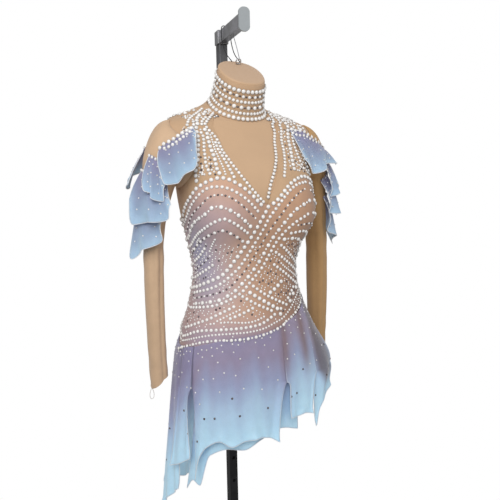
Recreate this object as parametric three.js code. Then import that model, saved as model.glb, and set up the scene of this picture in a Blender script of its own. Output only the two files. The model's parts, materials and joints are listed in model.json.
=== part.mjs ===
// A figure skating dress on a limbless dress form that hangs in its own stand.
//
// Frame: millimetres, +Z up, origin on the floor under the form's axis. The form faces -Y, so the
// wearer's left is +X. A place on the form is given by an angle t in degrees, from the front (0)
// towards the wearer's left (90), back (180) and right (270 or -90), and by a height h over the waist.
import * as THREE from "three";
import { mergeVertices } from "three/addons/utils/BufferGeometryUtils.js";

// ---------------------------------------------------------------- driving dimensions
const WAIST_HEIGHT = 1080; // floor to the form's waist
const CLOTH = 1.2; // thickness of every cloth wall
const SEAM = 0.4; // gap between two pieces that are sewn edge to edge
const BODY_GAP = 3.2; // form to the inside of the bodice, yokes and briefs
const SKIRT_GAP = 5.6; // form to the inside of the layer that is sewn on at the hip line
const OVERSKIRT_GAP = 7.7; // form to the inside of the front petals, which hang over the underskirt
const COLLAR_GAP = 0.45; // the collar is the one snug piece
const COLLAR_LOW = 366.4;
const COLLAR_HIGH = 436;
const SQUARENESS = 0.04; // how far the form's rings lean from ellipses towards rounded boxes
const BUST = { t: 38, h: 125, rise: 36, spread: 18, above: 55, below: 40 };

const FORM_SEGMENTS = 32;
const FORM_TOP = 448;
const FORM_BOTTOM = -235;
const FULLEST_HIP = -190; // below it the skirt hangs down free of the form

const PANEL_STEP = 7.5; // degrees between two columns of a panel, the same on both sides of a seam
const FRONT_ROWS = 16;
const BACK_ROWS = 8;
const YOKE_ROWS = 11;
const BACK_YOKE_COLUMNS = 18;
const COLLAR_ROWS = 3;
const SLEEVE_RINGS = 13;
const SLEEVE_SEGMENTS = 16;
const RUFFLE_COLUMNS = 12;
const RUFFLE_ROWS = 4;
const RUFFLE_LIFT = CLOTH + 0.35; // from the middle of the sleeve to the middle of a ruffle sewn on it
const PETAL_ROWS = 11;
const SIDE_ROW_CROWDING = 1.2; // these powers bring a piece's rows closer together at one end
const SLEEVE_CROWDING = 1.35;
const PETAL_CROWDING = 1.3;

const BASE = { width: 440, depth: 400, thickness: 8 };
const POST = { x: 26, y: 143, size: 22, top: 545, hole: 4, firstHole: 390, pitch: 60, holes: 5 };
const BRACKET = { size: 28, height: 34 };
const ARM = { length: 150, width: 18, height: 30, yaw: -8.5 };
const END_PLATE = { width: 26, height: 54, thickness: 6, corner: 11 };
const HOLD_GAP = 0.3; // between two hard pieces that meet

// ---------------------------------------------------------------- tables
const table = (columns, rows) =>
  rows.map((row) => Object.fromEntries(columns.map((name, i) => [name, row[i]])));

// Rings of the form: half width, depth before and behind the axis, axis offset, forward tilt.
const FORM = table(["h", "half", "front", "back", "y", "tilt"], [
  [-245, 152, 100, 107, 0, 0],
  [-190, 157, 102, 112, 0, 0],
  [-130, 149, 100, 105, 0, 0],
  [-70, 130, 93, 92, 0, 0],
  [0, 118, 88, 86, 0, 0],
  [60, 127, 93, 92, 0, 0],
  [115, 140, 100, 99, 0, 0],
  [160, 148, 103, 106, 0, 0],
  [205, 155, 98, 110, 0, 0],
  [245, 168, 84, 108, 0, 3],
  [280, 180, 68, 100, 3, 8],
  [304, 182, 56, 88, 5, 12],
  [320, 180, 50, 76, 7, 16],
  [333, 166, 47, 68, 8, 20],
  [344, 132, 46, 64, 10, 24],
  [354, 98, 48, 62, 12, 28],
  [363, 76, 54, 60, 16, 33],
  [373, 64, 58, 58, 18, 36],
  [395, 57, 56, 56, 11, 38],
  [425, 54.5, 54, 54, 0, 39],
  [448, 54, 54, 54, -9, 39],
]);

// The heights of the form's own rings, closer where it curves more.
const FORM_RINGS = [
  FORM_BOTTOM, -190, -130, -70, -20, 20, 55, 78, 96, 112, 127, 142, 158, 176, 198, 222, 246, 268,
  288, 304, 316, 325, 333, 341, 349, 357,
];

// Sweetheart top of the bodice, and the slanting line at the hips that the skirt is sewn to.
const TOP_LINE = table(["t", "h"], [
  [0, 148], [12, 163], [25, 192], [38, 206], [52, 197], [66, 170], [80, 138], [90, 124],
  [110, 120], [130, 118], [180, 112],
]);
const HIP_LINE = table(["t", "h"], [
  [-180, -95], [-140, -125], [-100, -164], [-70, -158], [-40, -143], [0, -132], [30, -108],
  [65, -74], [90, -62], [130, -70], [180, -95],
]);

// Front yoke: the open V on one side, then the armhole and the shoulder seam on the other.
const V_EDGE = {
  right: table(["t", "h"], [
    [0.7, 148], [8.5, 170], [15, 195], [21, 220], [24.5, 260], [25.5, 300], [28, 325], [37, 343],
    [52, 355], [67, 366],
  ]),
  left: table(["t", "h"], [
    [0.7, 148], [5, 170], [9.5, 195], [13, 220], [15.5, 260], [17, 300], [21, 325], [33, 343],
    [50, 355], [67, 366],
  ]),
};
const YOKE_EDGE = table(["t", "h"], [
  [89.9, 124], [89.9, 160], [88.4, 188], [67, 195.5], [53, 221], [47, 268], [56.5, 302],
  [73, 324], [89.8, 333], [89.8, 345], [89.7, 357], [89.7, 366],
]);
const BACK_YOKE_EDGE = table(["t", "h"], [
  [90.1, 124], [90.1, 160], [91.2, 188], [109.5, 198], [125.5, 235], [129, 270], [121.5, 302],
  [107, 324], [90.2, 333], [90.2, 345], [90.3, 357], [90.3, 366],
]);

// The armhole, once round from the shoulder point by way of the front.
const ARMHOLE = table(["turn", "t", "h"], [
  [0, 90, 331], [35, 74, 322], [60, 58, 300], [90, 50, 268], [120, 58, 225], [150, 72, 200],
  [180, 90, 190], [210, 108, 200], [240, 124, 235], [270, 127, 270], [300, 120, 300],
  [325, 106, 322], [360, 90, 331],
]);

// Sleeve sections: centre, tilt of the section's plane, half sizes across and deep.
const SLEEVE_COLUMNS = ["along", "x", "y", "h", "tilt", "across", "deep"];
const SLEEVES = {
  right: table(SLEEVE_COLUMNS, [
    [0, 176, 12, 268, 78, 62, 52],
    [0.06, 184, 12, 258, 64, 58, 50],
    [0.14, 195, 12, 228, 40, 44, 46],
    [0.24, 201, 12, 190, 18, 32, 40],
    [0.36, 208, 13, 140, 5, 25, 34],
    [0.5, 214, 15, 70, 0, 21, 28],
    [0.7, 215, 15, -40, 0, 20, 26],
    [0.85, 214, 14, -130, 0, 19, 25],
    [1, 211, 12, -218, 0, 18, 23],
  ]),
  left: table(SLEEVE_COLUMNS, [
    [0, 176, 12, 268, 78, 62, 52],
    [0.06, 184, 12, 258, 64, 58, 50],
    [0.14, 195, 12, 228, 40, 44, 46],
    [0.24, 201, 12, 190, 18, 32, 40],
    [0.36, 208, 14, 140, 5, 25, 34],
    [0.5, 216, 19, 70, 0, 22, 32],
    [0.7, 222, 28, -40, 0, 22, 32],
    [0.85, 227, 37, -130, 0, 21, 29],
    [1, 230, 45, -212, 0, 20, 25],
  ]),
};
const SLEEVE_BLEND = 0.15; // share of the sleeve in which the armhole's outline turns into sections
const CUFF_POINT = { right: { turn: 0, drop: 26 }, left: { turn: 180, drop: 26 } };
const CUFF = { start: 0.8, sharpness: 1.5 }; // where the cuff begins to dip, and how pointed it is
const FINGER_LOOP = { half: 4.5, height: 11.5, cord: 0.8 };

// Shoulder ruffles: sewn edge, then the free edge with its dip. The left one starts further in.
const RUFFLE_TABLE = ["seamX", "seamY", "seamH", "edgeX", "edgeY", "edgeH"];
const FRONT_RUFFLES = {
  right: table(RUFFLE_TABLE, [
    [138, -40, 316, 138, -56, 300],
    [146, -41, 311, 146, -74, 268],
    [158, -41, 305, 150, -86, 245],
    [170, -41, 298, 157, -83, 225],
    [180, -40, 291, 175, -77, 212],
    [190, -37, 285, 190, -66, 196],
    [202, -32, 279, 208, -58, 196],
    [211, -27, 268, 214, -44, 226],
  ]),
  left: table(RUFFLE_TABLE, [
    [107, -37, 320, 121, -88, 226],
    [124, -36, 316, 132, -90, 219],
    [138, -40, 316, 146, -86, 218],
    [156, -41, 306, 164, -80, 221],
    [174, -42, 296, 182, -72, 229],
    [188, -40, 287, 200, -64, 238],
    [200, -34, 280, 222, -54, 241],
    [211, -27, 268, 236, -40, 232],
  ]),
};
const RUFFLE = { swell: { front: 5, tier: 6 }, waves: 2.5, depth: 3 };
const RUFFLE_CENTRE = new THREE.Vector3(120, 10, WAIST_HEIGHT + 200); // ruffles swell away from it
// Tiers sewn round the sleeve: the sleeve's turn at the seam, then the free edge.
const TIER_TABLE = ["turn", "along", "edgeX", "edgeY", "edgeH"];
const TIERS = {
  fold: table(TIER_TABLE, [
    [66, 0.135, 204, -54, 178],
    [56, 0.135, 218, -52, 164],
    [46, 0.135, 232, -46, 168],
    [36, 0.135, 242, -38, 180],
    [26, 0.135, 246, -26, 190],
  ]),
  upper: table(TIER_TABLE, [
    [96, 0.21, 195, -62, 141],
    [76, 0.205, 208, -56, 127],
    [56, 0.2, 226, -50, 120],
    [36, 0.195, 244, -36, 116],
    [14, 0.19, 262, -4, 114],
    [-12, 0.185, 264, 14, 152],
  ]),
  lower: table(TIER_TABLE, [
    [84, 0.315, 210, -40, 104],
    [64, 0.31, 216, -38, 84],
    [44, 0.305, 230, -30, 68],
    [22, 0.3, 250, -8, 54],
    [-4, 0.295, 262, 14, 40],
    [-30, 0.29, 252, 36, 58],
  ]),
  back: table(TIER_TABLE, [
    [-22, 0.12, 262, 36, 176],
    [-44, 0.11, 252, 66, 196],
    [-62, 0.1, 228, 92, 214],
    [-78, 0.09, 200, 108, 228],
    [-94, 0.08, 176, 116, 236],
  ]),
};

// Skirt petals: angle at the hip line, angle, height and flare at the hem. `swing` is the power of
// the drop that a petal swings out with; those with a slit beside them keep their angle down to it.
const PETAL_TABLE = ["top", "hem", "h", "flare"];
const SLIT_TOP = -240;
const PETALS = {
  skirt_front: {
    gap: OVERSKIRT_GAP, waves: 3, depth: 4, bulge: 0, slit: true, swing: 1.5,
    rows: table(PETAL_TABLE, [
      [-65.9, -59.5, -423, 28],
      [-58, -56, -374, 29],
      [-50, -50, -350, 30],
      [-42, -42.5, -339, 30],
      [-34, -34, -351, 30],
      [-26, -25.5, -345, 30],
      [-13, -16.5, -340, 29],
      [0, -8.5, -344, 29],
      [12.4, -1, -356, 29],
    ]),
  },
  skirt_front_left: {
    gap: OVERSKIRT_GAP, waves: 1.5, depth: 4, bulge: 2, slit: true, swing: 1.5,
    rows: table(PETAL_TABLE, [
      [12.6, 9.5, -312, 28],
      [22, 16, -315, 28],
      [33, 23, -313, 28],
      [42.9, 30, -317, 28],
    ]),
  },
  skirt_side_flap: {
    gap: OVERSKIRT_GAP, waves: 1.5, depth: 4, bulge: 26, slit: true, swing: 1.5,
    rows: table(PETAL_TABLE, [
      [43.1, 33.5, -350, 26],
      [58, 44, -304, 32],
      [74, 62, -284, 38],
      [94.9, 90, -310, 38],
    ]),
  },
  skirt_front_right: {
    gap: OVERSKIRT_GAP, waves: 1.5, depth: 4, bulge: 0, slit: true, swing: 1.2,
    rows: table(PETAL_TABLE, [
      [-66.1, -63, -380, 30],
      [-72, -67.5, -388, 32],
      [-79, -74, -399, 34],
      [-84.9, -83, -409, 36],
    ]),
  },
  skirt_tail: {
    gap: SKIRT_GAP, waves: 2, depth: 4, bulge: 0, slit: false, swing: 0.7,
    rows: table(PETAL_TABLE, [
      [-85.1, -81, -464, 20],
      [-94, -88, -478, 27],
      [-104, -97, -500, 33],
      [-116, -106, -528, 40],
      [-129.9, -119, -492, 38],
    ]),
  },
  skirt_back_left: {
    gap: SKIRT_GAP, waves: 3, depth: 4, bulge: 0, slit: false, swing: 1.3,
    rows: table(PETAL_TABLE, [
      [95.1, 96, -335, 38],
      [115, 117, -346, 32],
      [135, 137, -356, 22],
      [150, 151, -366, 12],
      [166.9, 165, -388, 7],
    ]),
  },
  skirt_back_right: {
    gap: SKIRT_GAP + 0.3, waves: 3, depth: 4, bulge: 0, slit: false, swing: 1.3,
    rows: table(PETAL_TABLE, [
      [167.1, 168, -392, 7],
      [178, 176, -405, 7],
      [192, 190, -450, 14],
      [206, 206, -520, 24],
      [229.9, 226, -508, 34],
    ]),
  },
  underskirt: {
    gap: SKIRT_GAP, waves: 3, depth: 2.5, bulge: 0, slit: false, swing: 1.6,
    rows: table(PETAL_TABLE, [
      [-64, -75, -462, 13],
      [-58, -66, -437, 14],
      [-52, -60, -446, 15],
      [-42, -50, -376, 15],
      [-30, -38, -364, 15],
      [-18, -25, -370, 15],
      [-4, -12, -352, 15],
      [10, 5, -338, 15],
      [24, 21, -350, 15],
    ]),
  },
};
const LEAST_COLUMNS = 5; // of a narrow petal
const PETAL_LAP = 5; // petals start this far above the hip line
const PETAL_TURN = 2.2; // power of the drop: how late a petal turns to its hem's angle
const SLIT_OPENING = 0.7; // power of the drop under a slit's top: how soon the slit opens

const COLOURS = {
  skin: 0xc8a585, mesh: 0xd0aa8c, bodice: 0xb9988f, mauve: 0x938bae, blue: 0xa9cfe8,
  steel: 0x8d9296, cord: 0x26262a, pearl: 0xece8e4,
};

// ---------------------------------------------------------------- curves
const RAD = Math.PI / 180;
const lerp = (a, b, share) => a + (b - a) * share;
const clamp = (value, low, high) => Math.min(high, Math.max(low, value));
const smooth = (share) => {
  const s = clamp(share, 0, 1);
  return s * s * (3 - 2 * s);
};

// A cubic curve through a table's rows that never overshoots them: `key` as a function of `at`.
function column(rows, at, key) {
  const x = rows.map((row) => row[at]);
  const y = rows.map((row) => row[key]);
  const rise = x.slice(1).map((_, i) => (y[i + 1] - y[i]) / (x[i + 1] - x[i]));
  const slope = x.map((_, i) => {
    if (i === 0) return rise[0];
    if (i === x.length - 1) return rise[i - 1];
    if (rise[i - 1] * rise[i] <= 0) return 0;
    return (2 * rise[i - 1] * rise[i]) / (rise[i - 1] + rise[i]);
  });
  return (value) => {
    const v = clamp(value, x[0], x[x.length - 1]);
    let i = 0;
    while (i < x.length - 2 && v > x[i + 1]) i += 1;
    const step = x[i + 1] - x[i];
    const s = (v - x[i]) / step;
    const a = y[i] * (1 + 2 * s) * (1 - s) ** 2 + step * slope[i] * s * (1 - s) ** 2;
    return a + y[i + 1] * s * s * (3 - 2 * s) + step * slope[i + 1] * s * s * (s - 1);
  };
}

// The same, with the rows evenly spaced from 0 to 1.
function evenly(rows, key) {
  const spaced = rows.map((row, i) => ({ at: i / (rows.length - 1), value: row[key] }));
  return column(spaced, "at", "value");
}

const columns = (rows, at, keys) =>
  Object.fromEntries(keys.map((key) => [key, column(rows, at, key)]));

const formAt = columns(FORM, "h", ["half", "front", "back", "y", "tilt"]);
const topLine = column(TOP_LINE, "t", "h");
const hipLine = column(HIP_LINE, "t", "h");
const wrapped = (t) => ((((t + 180) % 360) + 360) % 360) - 180;

// ---------------------------------------------------------------- the form's skin
// A point of the ring at height h: a squared ellipse, deeper before or behind, tilted forward.
function ringPoint(t, h) {
  const angle = t * RAD;
  const square = 1 + (SQUARENESS * (1 - Math.cos(4 * angle))) / 2;
  const front = formAt.front(h);
  const back = formAt.back(h);
  const deep = (front + back) / 2 + ((front - back) / 2) * Math.cos(angle);
  const out = -deep * Math.cos(angle) * square;
  const tilt = formAt.tilt(h) * RAD;
  return new THREE.Vector3(
    formAt.half(h) * Math.sin(angle) * square,
    formAt.y(h) + out * Math.cos(tilt),
    WAIST_HEIGHT + h + out * Math.sin(tilt),
  );
}

function outward(place, t, h) {
  const across = place(t + 1, h).sub(place(t - 1, h));
  const up = place(t, h + 1).sub(place(t, h - 1));
  return across.cross(up).normalize();
}

function bustRise(t, h) {
  const across = (Math.abs(wrapped(t)) - BUST.t) / BUST.spread;
  const up = (h - BUST.h) / (h > BUST.h ? BUST.above : BUST.below);
  return BUST.rise * Math.exp(-(across * across + up * up) / 2);
}

const bustedPoint = (t, h) =>
  ringPoint(t, h).addScaledVector(outward(ringPoint, t, h), bustRise(t, h));

// The form's surface moved out by `away`.
const skin = (t, h, away = 0) =>
  bustedPoint(t, h).addScaledVector(outward(bustedPoint, t, h), away);

// ---------------------------------------------------------------- walls
const steps = (count) => Array.from({ length: count + 1 }, (_, i) => i / count);

function geometryOf(points, triangles) {
  const position = new Float32Array(points.flatMap((p) => [p.x, p.y, p.z]));
  const geometry = new THREE.BufferGeometry();
  geometry.setAttribute("position", new THREE.BufferAttribute(position, 3));
  geometry.setIndex(triangles);
  return geometry;
}

// A closed wall between two grids of the same size, grid[i][j]; `round` joins its last column to
// the first. Its outer side is the one that faces along the first direction x the second.
function wall(outer, inner, round = false) {
  const wide = outer.length;
  const high = outer[0].length;
  const points = [...outer.flat(), ...inner.flat()];
  const at = (i, j, side) => side * wide * high + (i % wide) * high + j;
  const triangles = [];
  const quad = (a, b, c, d) => triangles.push(a, b, c, a, c, d);
  const last = round ? wide : wide - 1;
  for (let i = 0; i < last; i += 1) {
    for (let j = 0; j < high - 1; j += 1) {
      quad(at(i, j, 0), at(i + 1, j, 0), at(i + 1, j + 1, 0), at(i, j + 1, 0));
      quad(at(i, j, 1), at(i, j + 1, 1), at(i + 1, j + 1, 1), at(i + 1, j, 1));
    }
    quad(at(i, 0, 0), at(i, 0, 1), at(i + 1, 0, 1), at(i + 1, 0, 0));
    quad(at(i, high - 1, 0), at(i + 1, high - 1, 0), at(i + 1, high - 1, 1), at(i, high - 1, 1));
  }
  if (!round) {
    for (let j = 0; j < high - 1; j += 1) {
      quad(at(0, j, 0), at(0, j + 1, 0), at(0, j + 1, 1), at(0, j, 1));
      quad(at(last, j, 0), at(last, j, 1), at(last, j + 1, 1), at(last, j + 1, 0));
    }
  }
  return facingOut(geometryOf(points, triangles));
}

// Turns a closed geometry's faces round when they point inwards.
function facingOut(geometry) {
  const index = geometry.index.array;
  const p = geometry.attributes.position.array;
  let volume = 0;
  for (let i = 0; i < index.length; i += 3) {
    const [a, b, c] = [index[i] * 3, index[i + 1] * 3, index[i + 2] * 3];
    volume += p[a] * (p[b + 1] * p[c + 2] - p[b + 2] * p[c + 1]);
    volume += p[a + 1] * (p[b + 2] * p[c] - p[b] * p[c + 2]);
    volume += p[a + 2] * (p[b] * p[c + 1] - p[b + 1] * p[c]);
  }
  if (volume < 0) {
    for (let i = 0; i < index.length; i += 3) [index[i], index[i + 1]] = [index[i + 1], index[i]];
  }
  return geometry;
}

// A free sheet of cloth whose middle is the grid place(u, v): half the cloth on each side of it.
function sheet(place, acrossCount, alongCount, round = false) {
  const us = steps(acrossCount).slice(0, round ? -1 : undefined);
  const small = 1e-3;
  const side = (sign) =>
    us.map((u) =>
      steps(alongCount).map((v) => {
        const left = round ? u - small : Math.max(0, u - small);
        const right = round ? u + small : Math.min(1, u + small);
        const across = place(right, v).sub(place(left, v));
        const up = place(u, Math.min(1, v + small)).sub(place(u, Math.max(0, v - small)));
        return place(u, v).addScaledVector(across.cross(up).normalize(), (sign * CLOTH) / 2);
      }),
    );
  return wall(side(1), side(-1), round);
}

// A panel that follows the form: spot(u, v) gives [t, h], and `gap` is what lies under it.
function panel(spot, us, vs, gap, round = false) {
  const side = (away) => us.map((u) => vs.map((v) => skin(...spot(u, v), away)));
  return wall(side(gap + CLOTH), side(gap), round);
}

// A patch of (t, h) places that fills the space between four edges, each a function of 0 to 1.
const patch = (low, high, left, right) => (u, v) =>
  [0, 1].map((k) => {
    const ruledUp = lerp(low(u)[k], high(u)[k], v);
    const ruledAcross = lerp(left(v)[k], right(v)[k], u);
    const corners = lerp(lerp(low(0)[k], low(1)[k], u), lerp(high(0)[k], high(1)[k], u), v);
    return ruledUp + ruledAcross - corners;
  });

// ---------------------------------------------------------------- scene graph
const dress = new THREE.Group();
const materials = new Map();

function materialOf(colour, roughness, metalness) {
  const key = `${colour}-${roughness}`;
  if (!materials.has(key)) {
    const look = { color: colour, roughness, metalness, side: THREE.DoubleSide };
    materials.set(key, new THREE.MeshStandardMaterial(look));
  }
  return materials.get(key);
}

function add(name, geometry, colour, roughness = 0.85, metalness = 0) {
  const mesh = new THREE.Mesh(geometry, materialOf(colour, roughness, metalness));
  mesh.name = name;
  dress.add(mesh);
  return mesh;
}

// ---------------------------------------------------------------- dress form
function formTorso() {
  const collarRings = steps(COLLAR_ROWS).map((v) => lerp(COLLAR_LOW, COLLAR_HIGH, v));
  const rings = [...FORM_RINGS, ...collarRings, FORM_TOP];
  const points = rings.flatMap((h) =>
    steps(FORM_SEGMENTS).slice(0, -1).map((u) => skin(360 * u, h)),
  );
  const centre = (first) =>
    points.slice(first, first + FORM_SEGMENTS)
      .reduce((sum, p) => sum.add(p), new THREE.Vector3()).divideScalar(FORM_SEGMENTS);
  const top = (rings.length - 1) * FORM_SEGMENTS;
  const triangles = [];
  for (let j = 0; j < rings.length - 1; j += 1) {
    for (let i = 0; i < FORM_SEGMENTS; i += 1) {
      const next = (i + 1) % FORM_SEGMENTS;
      const [a, b] = [j * FORM_SEGMENTS + i, j * FORM_SEGMENTS + next];
      triangles.push(a, b, b + FORM_SEGMENTS, a, b + FORM_SEGMENTS, a + FORM_SEGMENTS);
    }
  }
  const lowCentre = points.length;
  for (let i = 0; i < FORM_SEGMENTS; i += 1) {
    const next = (i + 1) % FORM_SEGMENTS;
    triangles.push(lowCentre, next, i, lowCentre + 1, top + i, top + next);
  }
  points.push(centre(0), centre(top));
  return facingOut(geometryOf(points, triangles));
}
add("form_torso", formTorso(), COLOURS.skin, 0.7);

// ---------------------------------------------------------------- bodice, yokes, collar, briefs
const seamAngle = 0.07; // half a seam at the side, in degrees
const span = (from, to) =>
  steps(Math.round((to - from) / PANEL_STEP)).map((s) =>
    clamp(lerp(from, to, s), from + seamAngle, to - seamAngle),
  );
const up = (rows, power = 1) => steps(rows).map((v) => 1 - (1 - v) ** power);

const bodiceSpot = (t, v) => [t, lerp(hipLine(wrapped(t)), topLine(Math.abs(wrapped(t))), v)];
add("bodice_front",
  panel(bodiceSpot, span(-90, 90), up(FRONT_ROWS, SIDE_ROW_CROWDING), BODY_GAP),
  COLOURS.bodice);
add("bodice_back", panel(bodiceSpot, span(90, 270), up(BACK_ROWS), BODY_GAP), COLOURS.bodice);

const edgeOf = (rows) => {
  const [t, h] = [evenly(rows, "t"), evenly(rows, "h")];
  return (v) => [t(v), h(v)];
};

const EDGE_FIT = 6; // power of what is left of the edge: how soon it is back on its own line

// An edge whose first point is moved onto the seam that it starts from.
const edgeFit = (edge, start) => (v) => {
  const [t, h] = edge(v);
  const first = edge(0);
  const share = (1 - v) ** EDGE_FIT;
  return [t + (start[0] - first[0]) * share, h + (start[1] - first[1]) * share];
};

// The front yoke fills the space between the sweetheart line, the V, the armhole and the collar.
function frontYoke(side) {
  const sign = side === "left" ? 1 : -1;
  const vEdge = edgeOf(V_EDGE[side]);
  const outerEdge = edgeOf(YOKE_EDGE);
  const low = (u) => {
    const t = lerp(vEdge(0)[0], outerEdge(0)[0], u);
    return [t, topLine(t) + SEAM];
  };
  const high = (u) => [lerp(vEdge(1)[0], outerEdge(1)[0], u), vEdge(1)[1]];
  const spot = patch(low, high, edgeFit(vEdge, low(0)), edgeFit(outerEdge, low(1)));
  const across = steps(90 / PANEL_STEP);
  return panel((u, v) => {
    const [t, h] = spot(u, v);
    return [sign * t, h];
  }, across, up(YOKE_ROWS), BODY_GAP);
}

for (const side of ["left", "right"]) add(`front_yoke_${side}`, frontYoke(side), COLOURS.mesh);

function backYoke() {
  const left = edgeOf(BACK_YOKE_EDGE);
  const right = (v) => [360 - left(v)[0], left(v)[1]];
  const low = (u) => {
    const t = lerp(left(0)[0], right(0)[0], u);
    return [t, topLine(Math.abs(wrapped(t))) + SEAM];
  };
  const high = (u) => [lerp(left(1)[0], right(1)[0], u), left(1)[1]];
  const spot = patch(low, high, edgeFit(left, low(0)), edgeFit(right, low(1)));
  const closerAtEnds = (s) => lerp(s, (1 - Math.cos(Math.PI * s)) / 2, 0.5);
  return panel(spot, steps(BACK_YOKE_COLUMNS).map(closerAtEnds), up(YOKE_ROWS), BODY_GAP);
}
add("back_yoke", backYoke(), COLOURS.mesh);

const collarSpot = (u, v) => [360 * u, lerp(COLLAR_LOW, COLLAR_HIGH, v)];
add("collar",
  panel(collarSpot, steps(FORM_SEGMENTS).slice(0, -1), steps(COLLAR_ROWS), COLLAR_GAP, true),
  COLOURS.pearl, 0.5);

// The briefs carry on from the bodice and end just under the form, where the gusset closes them.
const BRIEFS_LOW = -238;
const GUSSET = { wide: 42, narrow: 30, drop: 0.7 };
const briefsSpot = (u, v) => [360 * u, lerp(BRIEFS_LOW, hipLine(wrapped(360 * u)) - SEAM, v)];
add("briefs",
  panel(briefsSpot, steps(360 / PANEL_STEP).slice(0, -1), steps(3), BODY_GAP, true),
  COLOURS.mauve);

function gusset() {
  const [front, back] = [formAt.front(BRIEFS_LOW), formAt.back(BRIEFS_LOW)];
  const outline = new THREE.Shape();
  outline.moveTo(-GUSSET.wide, -front);
  outline.lineTo(GUSSET.wide, -front);
  outline.quadraticCurveTo(GUSSET.narrow, 0, GUSSET.wide, back);
  outline.lineTo(-GUSSET.wide, back);
  outline.quadraticCurveTo(-GUSSET.narrow, 0, -GUSSET.wide, -front);
  const geometry = new THREE.ExtrudeGeometry(outline, {
    depth: CLOTH, bevelEnabled: false, curveSegments: 8,
  });
  return geometry.translate(0, 0, WAIST_HEIGHT + BRIEFS_LOW - GUSSET.drop - CLOTH);
}
add("gusset", gusset(), COLOURS.mauve);

// ---------------------------------------------------------------- sleeves
const armholeAt = columns(ARMHOLE, "turn", ["t", "h"]);
const SLEEVE_LAP = 6; // the sleeve's first ring lies this far off the form, over the yoke's edge
const SLEEVE_EASE = 24; // fullness at the sleeve's head, which keeps it clear of the yoke

// A point of a sleeve on the wearer's left, `along` it from the armhole and `turn` degrees round.
function sleevePoint(sections, cuff) {
  const at = columns(sections, "along", SLEEVE_COLUMNS.slice(1));
  return (along, turn, away = 0) => {
    const angle = turn * RAD;
    const tilt = at.tilt(along) * RAD;
    const across = (at.across(along) + away) * Math.cos(angle);
    const point = new THREE.Vector3(
      at.x(along) + across * Math.cos(tilt),
      at.y(along) - (at.deep(along) + away) * Math.sin(angle),
      WAIST_HEIGHT + at.h(along) + across * Math.sin(tilt),
    );
    const facing = (1 + Math.cos(angle - cuff.turn * RAD)) / 2;
    const dip = smooth((along - CUFF.start) / (1 - CUFF.start));
    point.z -= cuff.drop * facing ** CUFF.sharpness * dip;
    const round = ((turn % 360) + 360) % 360;
    const share = smooth(along / SLEEVE_BLEND);
    const lift = SLEEVE_LAP + SLEEVE_EASE * share + away;
    return skin(armholeAt.t(round), armholeAt.h(round), lift).lerp(point, share);
  };
}
const sleeveAt = {
  left: sleevePoint(SLEEVES.left, CUFF_POINT.left),
  right: sleevePoint(SLEEVES.right, CUFF_POINT.right),
};

// Everything at the shoulders is worked out on the wearer's left and mirrored for the right.
const mirrored = (side, point) => {
  if (side === "right") point.x *= -1;
  return point;
};

for (const side of ["left", "right"]) {
  const place = (u, v) => mirrored(side, sleeveAt[side](v ** SLEEVE_CROWDING, 360 * u));
  add(`sleeve_${side}`, sheet(place, SLEEVE_SEGMENTS, SLEEVE_RINGS, true), COLOURS.mesh);

  const tip = sleeveAt[side](1, CUFF_POINT[side].turn);
  const loop = new THREE.TorusGeometry(1, FINGER_LOOP.cord / FINGER_LOOP.height, 5, 16);
  loop.scale(FINGER_LOOP.half, FINGER_LOOP.height, FINGER_LOOP.height);
  loop.rotateX(Math.PI / 2);
  loop.translate(tip.x, tip.y, tip.z - FINGER_LOOP.height - FINGER_LOOP.cord - HOLD_GAP);
  for (const attribute of ["normal", "uv"]) loop.deleteAttribute(attribute);
  add(`finger_loop_${side}`, mirroredGeometry(side, loop), COLOURS.mesh);
}

// A geometry of the wearer's left turned into the right one's mirror image.
function mirroredGeometry(side, geometry) {
  const merged = mergeVertices(geometry, 1e-4);
  if (side === "right") merged.scale(-1, 1, 1);
  return facingOut(merged);
}

// ---------------------------------------------------------------- ruffles
// A ruffle between its sewn edge and its free edge, swelling out in between, with waves that
// grow towards the free edge.
function ruffle(side, seam, edge, swell) {
  const place = (u, v) => {
    const point = seam(u).lerp(edge(u), v);
    const out = point.clone().sub(RUFFLE_CENTRE).setZ(0).normalize();
    const wave = RUFFLE.depth * v * v * Math.sin(2 * Math.PI * RUFFLE.waves * u);
    return mirrored(side, point.addScaledVector(out, swell * Math.sin(Math.PI * v) + wave));
  };
  return sheet(place, RUFFLE_COLUMNS, RUFFLE_ROWS);
}

const along = (rows, keys) => {
  const [x, y, h] = keys.map((key) => evenly(rows, key));
  return (u) => new THREE.Vector3(x(u), y(u), WAIST_HEIGHT + h(u));
};

for (const side of ["left", "right"]) {
  const rows = FRONT_RUFFLES[side];
  const front = ruffle(side, along(rows, ["seamX", "seamY", "seamH"]),
    along(rows, ["edgeX", "edgeY", "edgeH"]), RUFFLE.swell.front);
  add(`ruffle_front_${side}`, front, COLOURS.mauve);
  for (const [name, tier] of Object.entries(TIERS)) {
    const [turn, place] = [evenly(tier, "turn"), evenly(tier, "along")];
    const seam = (u) => sleeveAt[side](place(u), turn(u), RUFFLE_LIFT);
    const free = along(tier, ["edgeX", "edgeY", "edgeH"]);
    add(`ruffle_${name}_${side}`, ruffle(side, seam, free, RUFFLE.swell.tier), COLOURS.blue);
  }
}

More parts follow.
